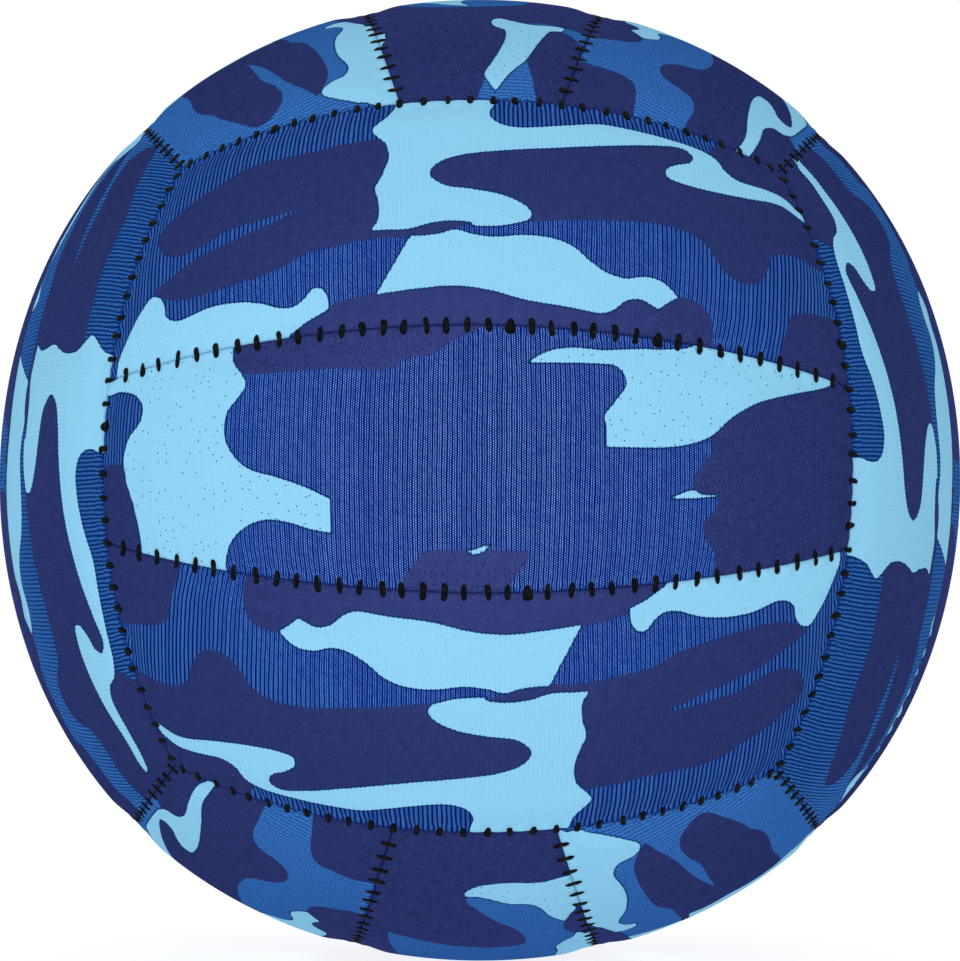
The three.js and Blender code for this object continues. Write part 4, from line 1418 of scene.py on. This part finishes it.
class PLAYBALL_OT_stage(bpy.types.Operator):
    """Sets up the camera, the floor and the light"""

    bl_idname = "playball.stage"
    bl_label = "Stage"

    def execute(self, context):
        stage = context.scene.playball_stage
        scene = context.scene
        scene.view_settings.view_transform = "Standard"

        cam = bpy.data.cameras.new("camera")
        cam.lens = stage.lens
        cam.sensor_width = SENSOR_WIDTH
        turn = (
            Matrix.Rotation(stage.turn, 4, "Z")
            @ Matrix.Rotation(stage.tilt, 4, "X")
            @ Matrix.Rotation(stage.roll, 4, "Y")
        )
        scene.camera = place_object("camera", cam)
        scene.camera.matrix_world = turn.inverted() @ self.in_front(stage.distance)

        self.light_world(scene, stage)
        self.lay_floor()
        lamp = bpy.data.lights.new("front_lamp", "AREA")
        lamp.shape = "DISK"
        lamp.size = stage.lamp_size
        lamp.energy = stage.key
        lamp_turn = Matrix.Rotation(stage.lamp_turn, 4, "Z")
        place_object("front_lamp", lamp).matrix_world = lamp_turn @ self.in_front(stage.lamp_distance)
        return {"FINISHED"}

    @staticmethod
    def in_front(distance):
        """A place in front of the ball, looking back at it."""
        return Matrix.Translation((0, -distance, 0)) @ Matrix.Rotation(math.pi / 2, 4, "X")

    @staticmethod
    def seen_directly(tree):
        """1 for what the camera sees, straight or through gloss and glass."""
        path = add_node(tree, "ShaderNodeLightPath")
        camera, gloss, glass = (
            Field(tree, path.outputs[f"Is {kind} Ray"]) for kind in ("Camera", "Glossy", "Transmission")
        )
        return camera.at_least(gloss).at_least(glass)

    def light_world(self, scene, stage):
        world = bpy.data.worlds.new("studio")
        world.use_nodes = True
        tree = world.node_tree
        tree.nodes.clear()
        lit, seen = (
            add_node(tree, "ShaderNodeBackground", None, {"Color": WHITE, "Strength": strength}).outputs[0]
            for strength in (stage.ambient, 1.0)
        )
        mix = add_node(tree, "ShaderNodeMixShader", None, {0: self.seen_directly(tree), 1: lit, 2: seen})
        add_node(tree, "ShaderNodeOutputWorld", None, {"Surface": mix.outputs[0]})
        scene.world = world

    def lay_floor(self):
        corners = ((-1, -1), (1, -1), (1, 1), (-1, 1))
        points = [(x * FLOOR_REACH, y * FLOOR_REACH, -BALL_RADIUS) for x, y in corners]
        mesh = bpy.data.meshes.new("floor")
        mesh.from_pydata(points, [], [(0, 1, 2, 3)])
        floor = place_object("floor", mesh)
        material, tree = new_material("studio_floor")
        paper = add_node(tree, "ShaderNodeBsdfDiffuse", None, {"Color": FLOOR_GREY})
        strength = self.seen_directly(tree) * FLOOR_GLOW_SEEN + FLOOR_GLOW
        glow = add_node(tree, "ShaderNodeEmission", None, {"Color": WHITE, "Strength": strength})
        both = add_node(tree, "ShaderNodeAddShader", None, {0: paper.outputs[0], 1: glow.outputs[0]})
        finish_material(tree, both)
        mesh.materials.append(material)


class PLAYBALL_PT_panel(bpy.types.Panel):
    """Builds the ball's pieces"""

    bl_idname = "PLAYBALL_PT_panel"
    bl_label = "Play Ball"
    bl_space_type = "VIEW_3D"
    bl_region_type = "UI"
    bl_category = "Play Ball"

    def draw(self, context):
        for operator in OPERATORS:
            self.layout.operator(operator.bl_idname)
        for group in GROUPS:
            settings = getattr(context.scene, group)
            box = self.layout.box()
            for name in settings.__annotations__:
                box.prop(settings, name)


GROUPS = {
    "playball_cover": CoverSettings, "playball_stitch": StitchSettings, "playball_stage": StageSettings,
}
OPERATORS = (PLAYBALL_OT_cover, PLAYBALL_OT_stitches, PLAYBALL_OT_rubber, PLAYBALL_OT_stage)
CLASSES = (*GROUPS.values(), *OPERATORS, PLAYBALL_PT_panel)


def register():
    for cls in CLASSES:
        bpy.utils.register_class(cls)
    for name, group in GROUPS.items():
        setattr(bpy.types.Scene, name, bpy.props.PointerProperty(type=group))


def unregister():
    for name in GROUPS:
        delattr(bpy.types.Scene, name)
    for cls in reversed(CLASSES):
        bpy.utils.unregister_class(cls)


def main():
    register()
    bpy.ops.playball.cover()
    bpy.ops.playball.stitches()
    bpy.ops.playball.rubber()
    bpy.ops.playball.stage()


if __name__ == "__main__":
    main()
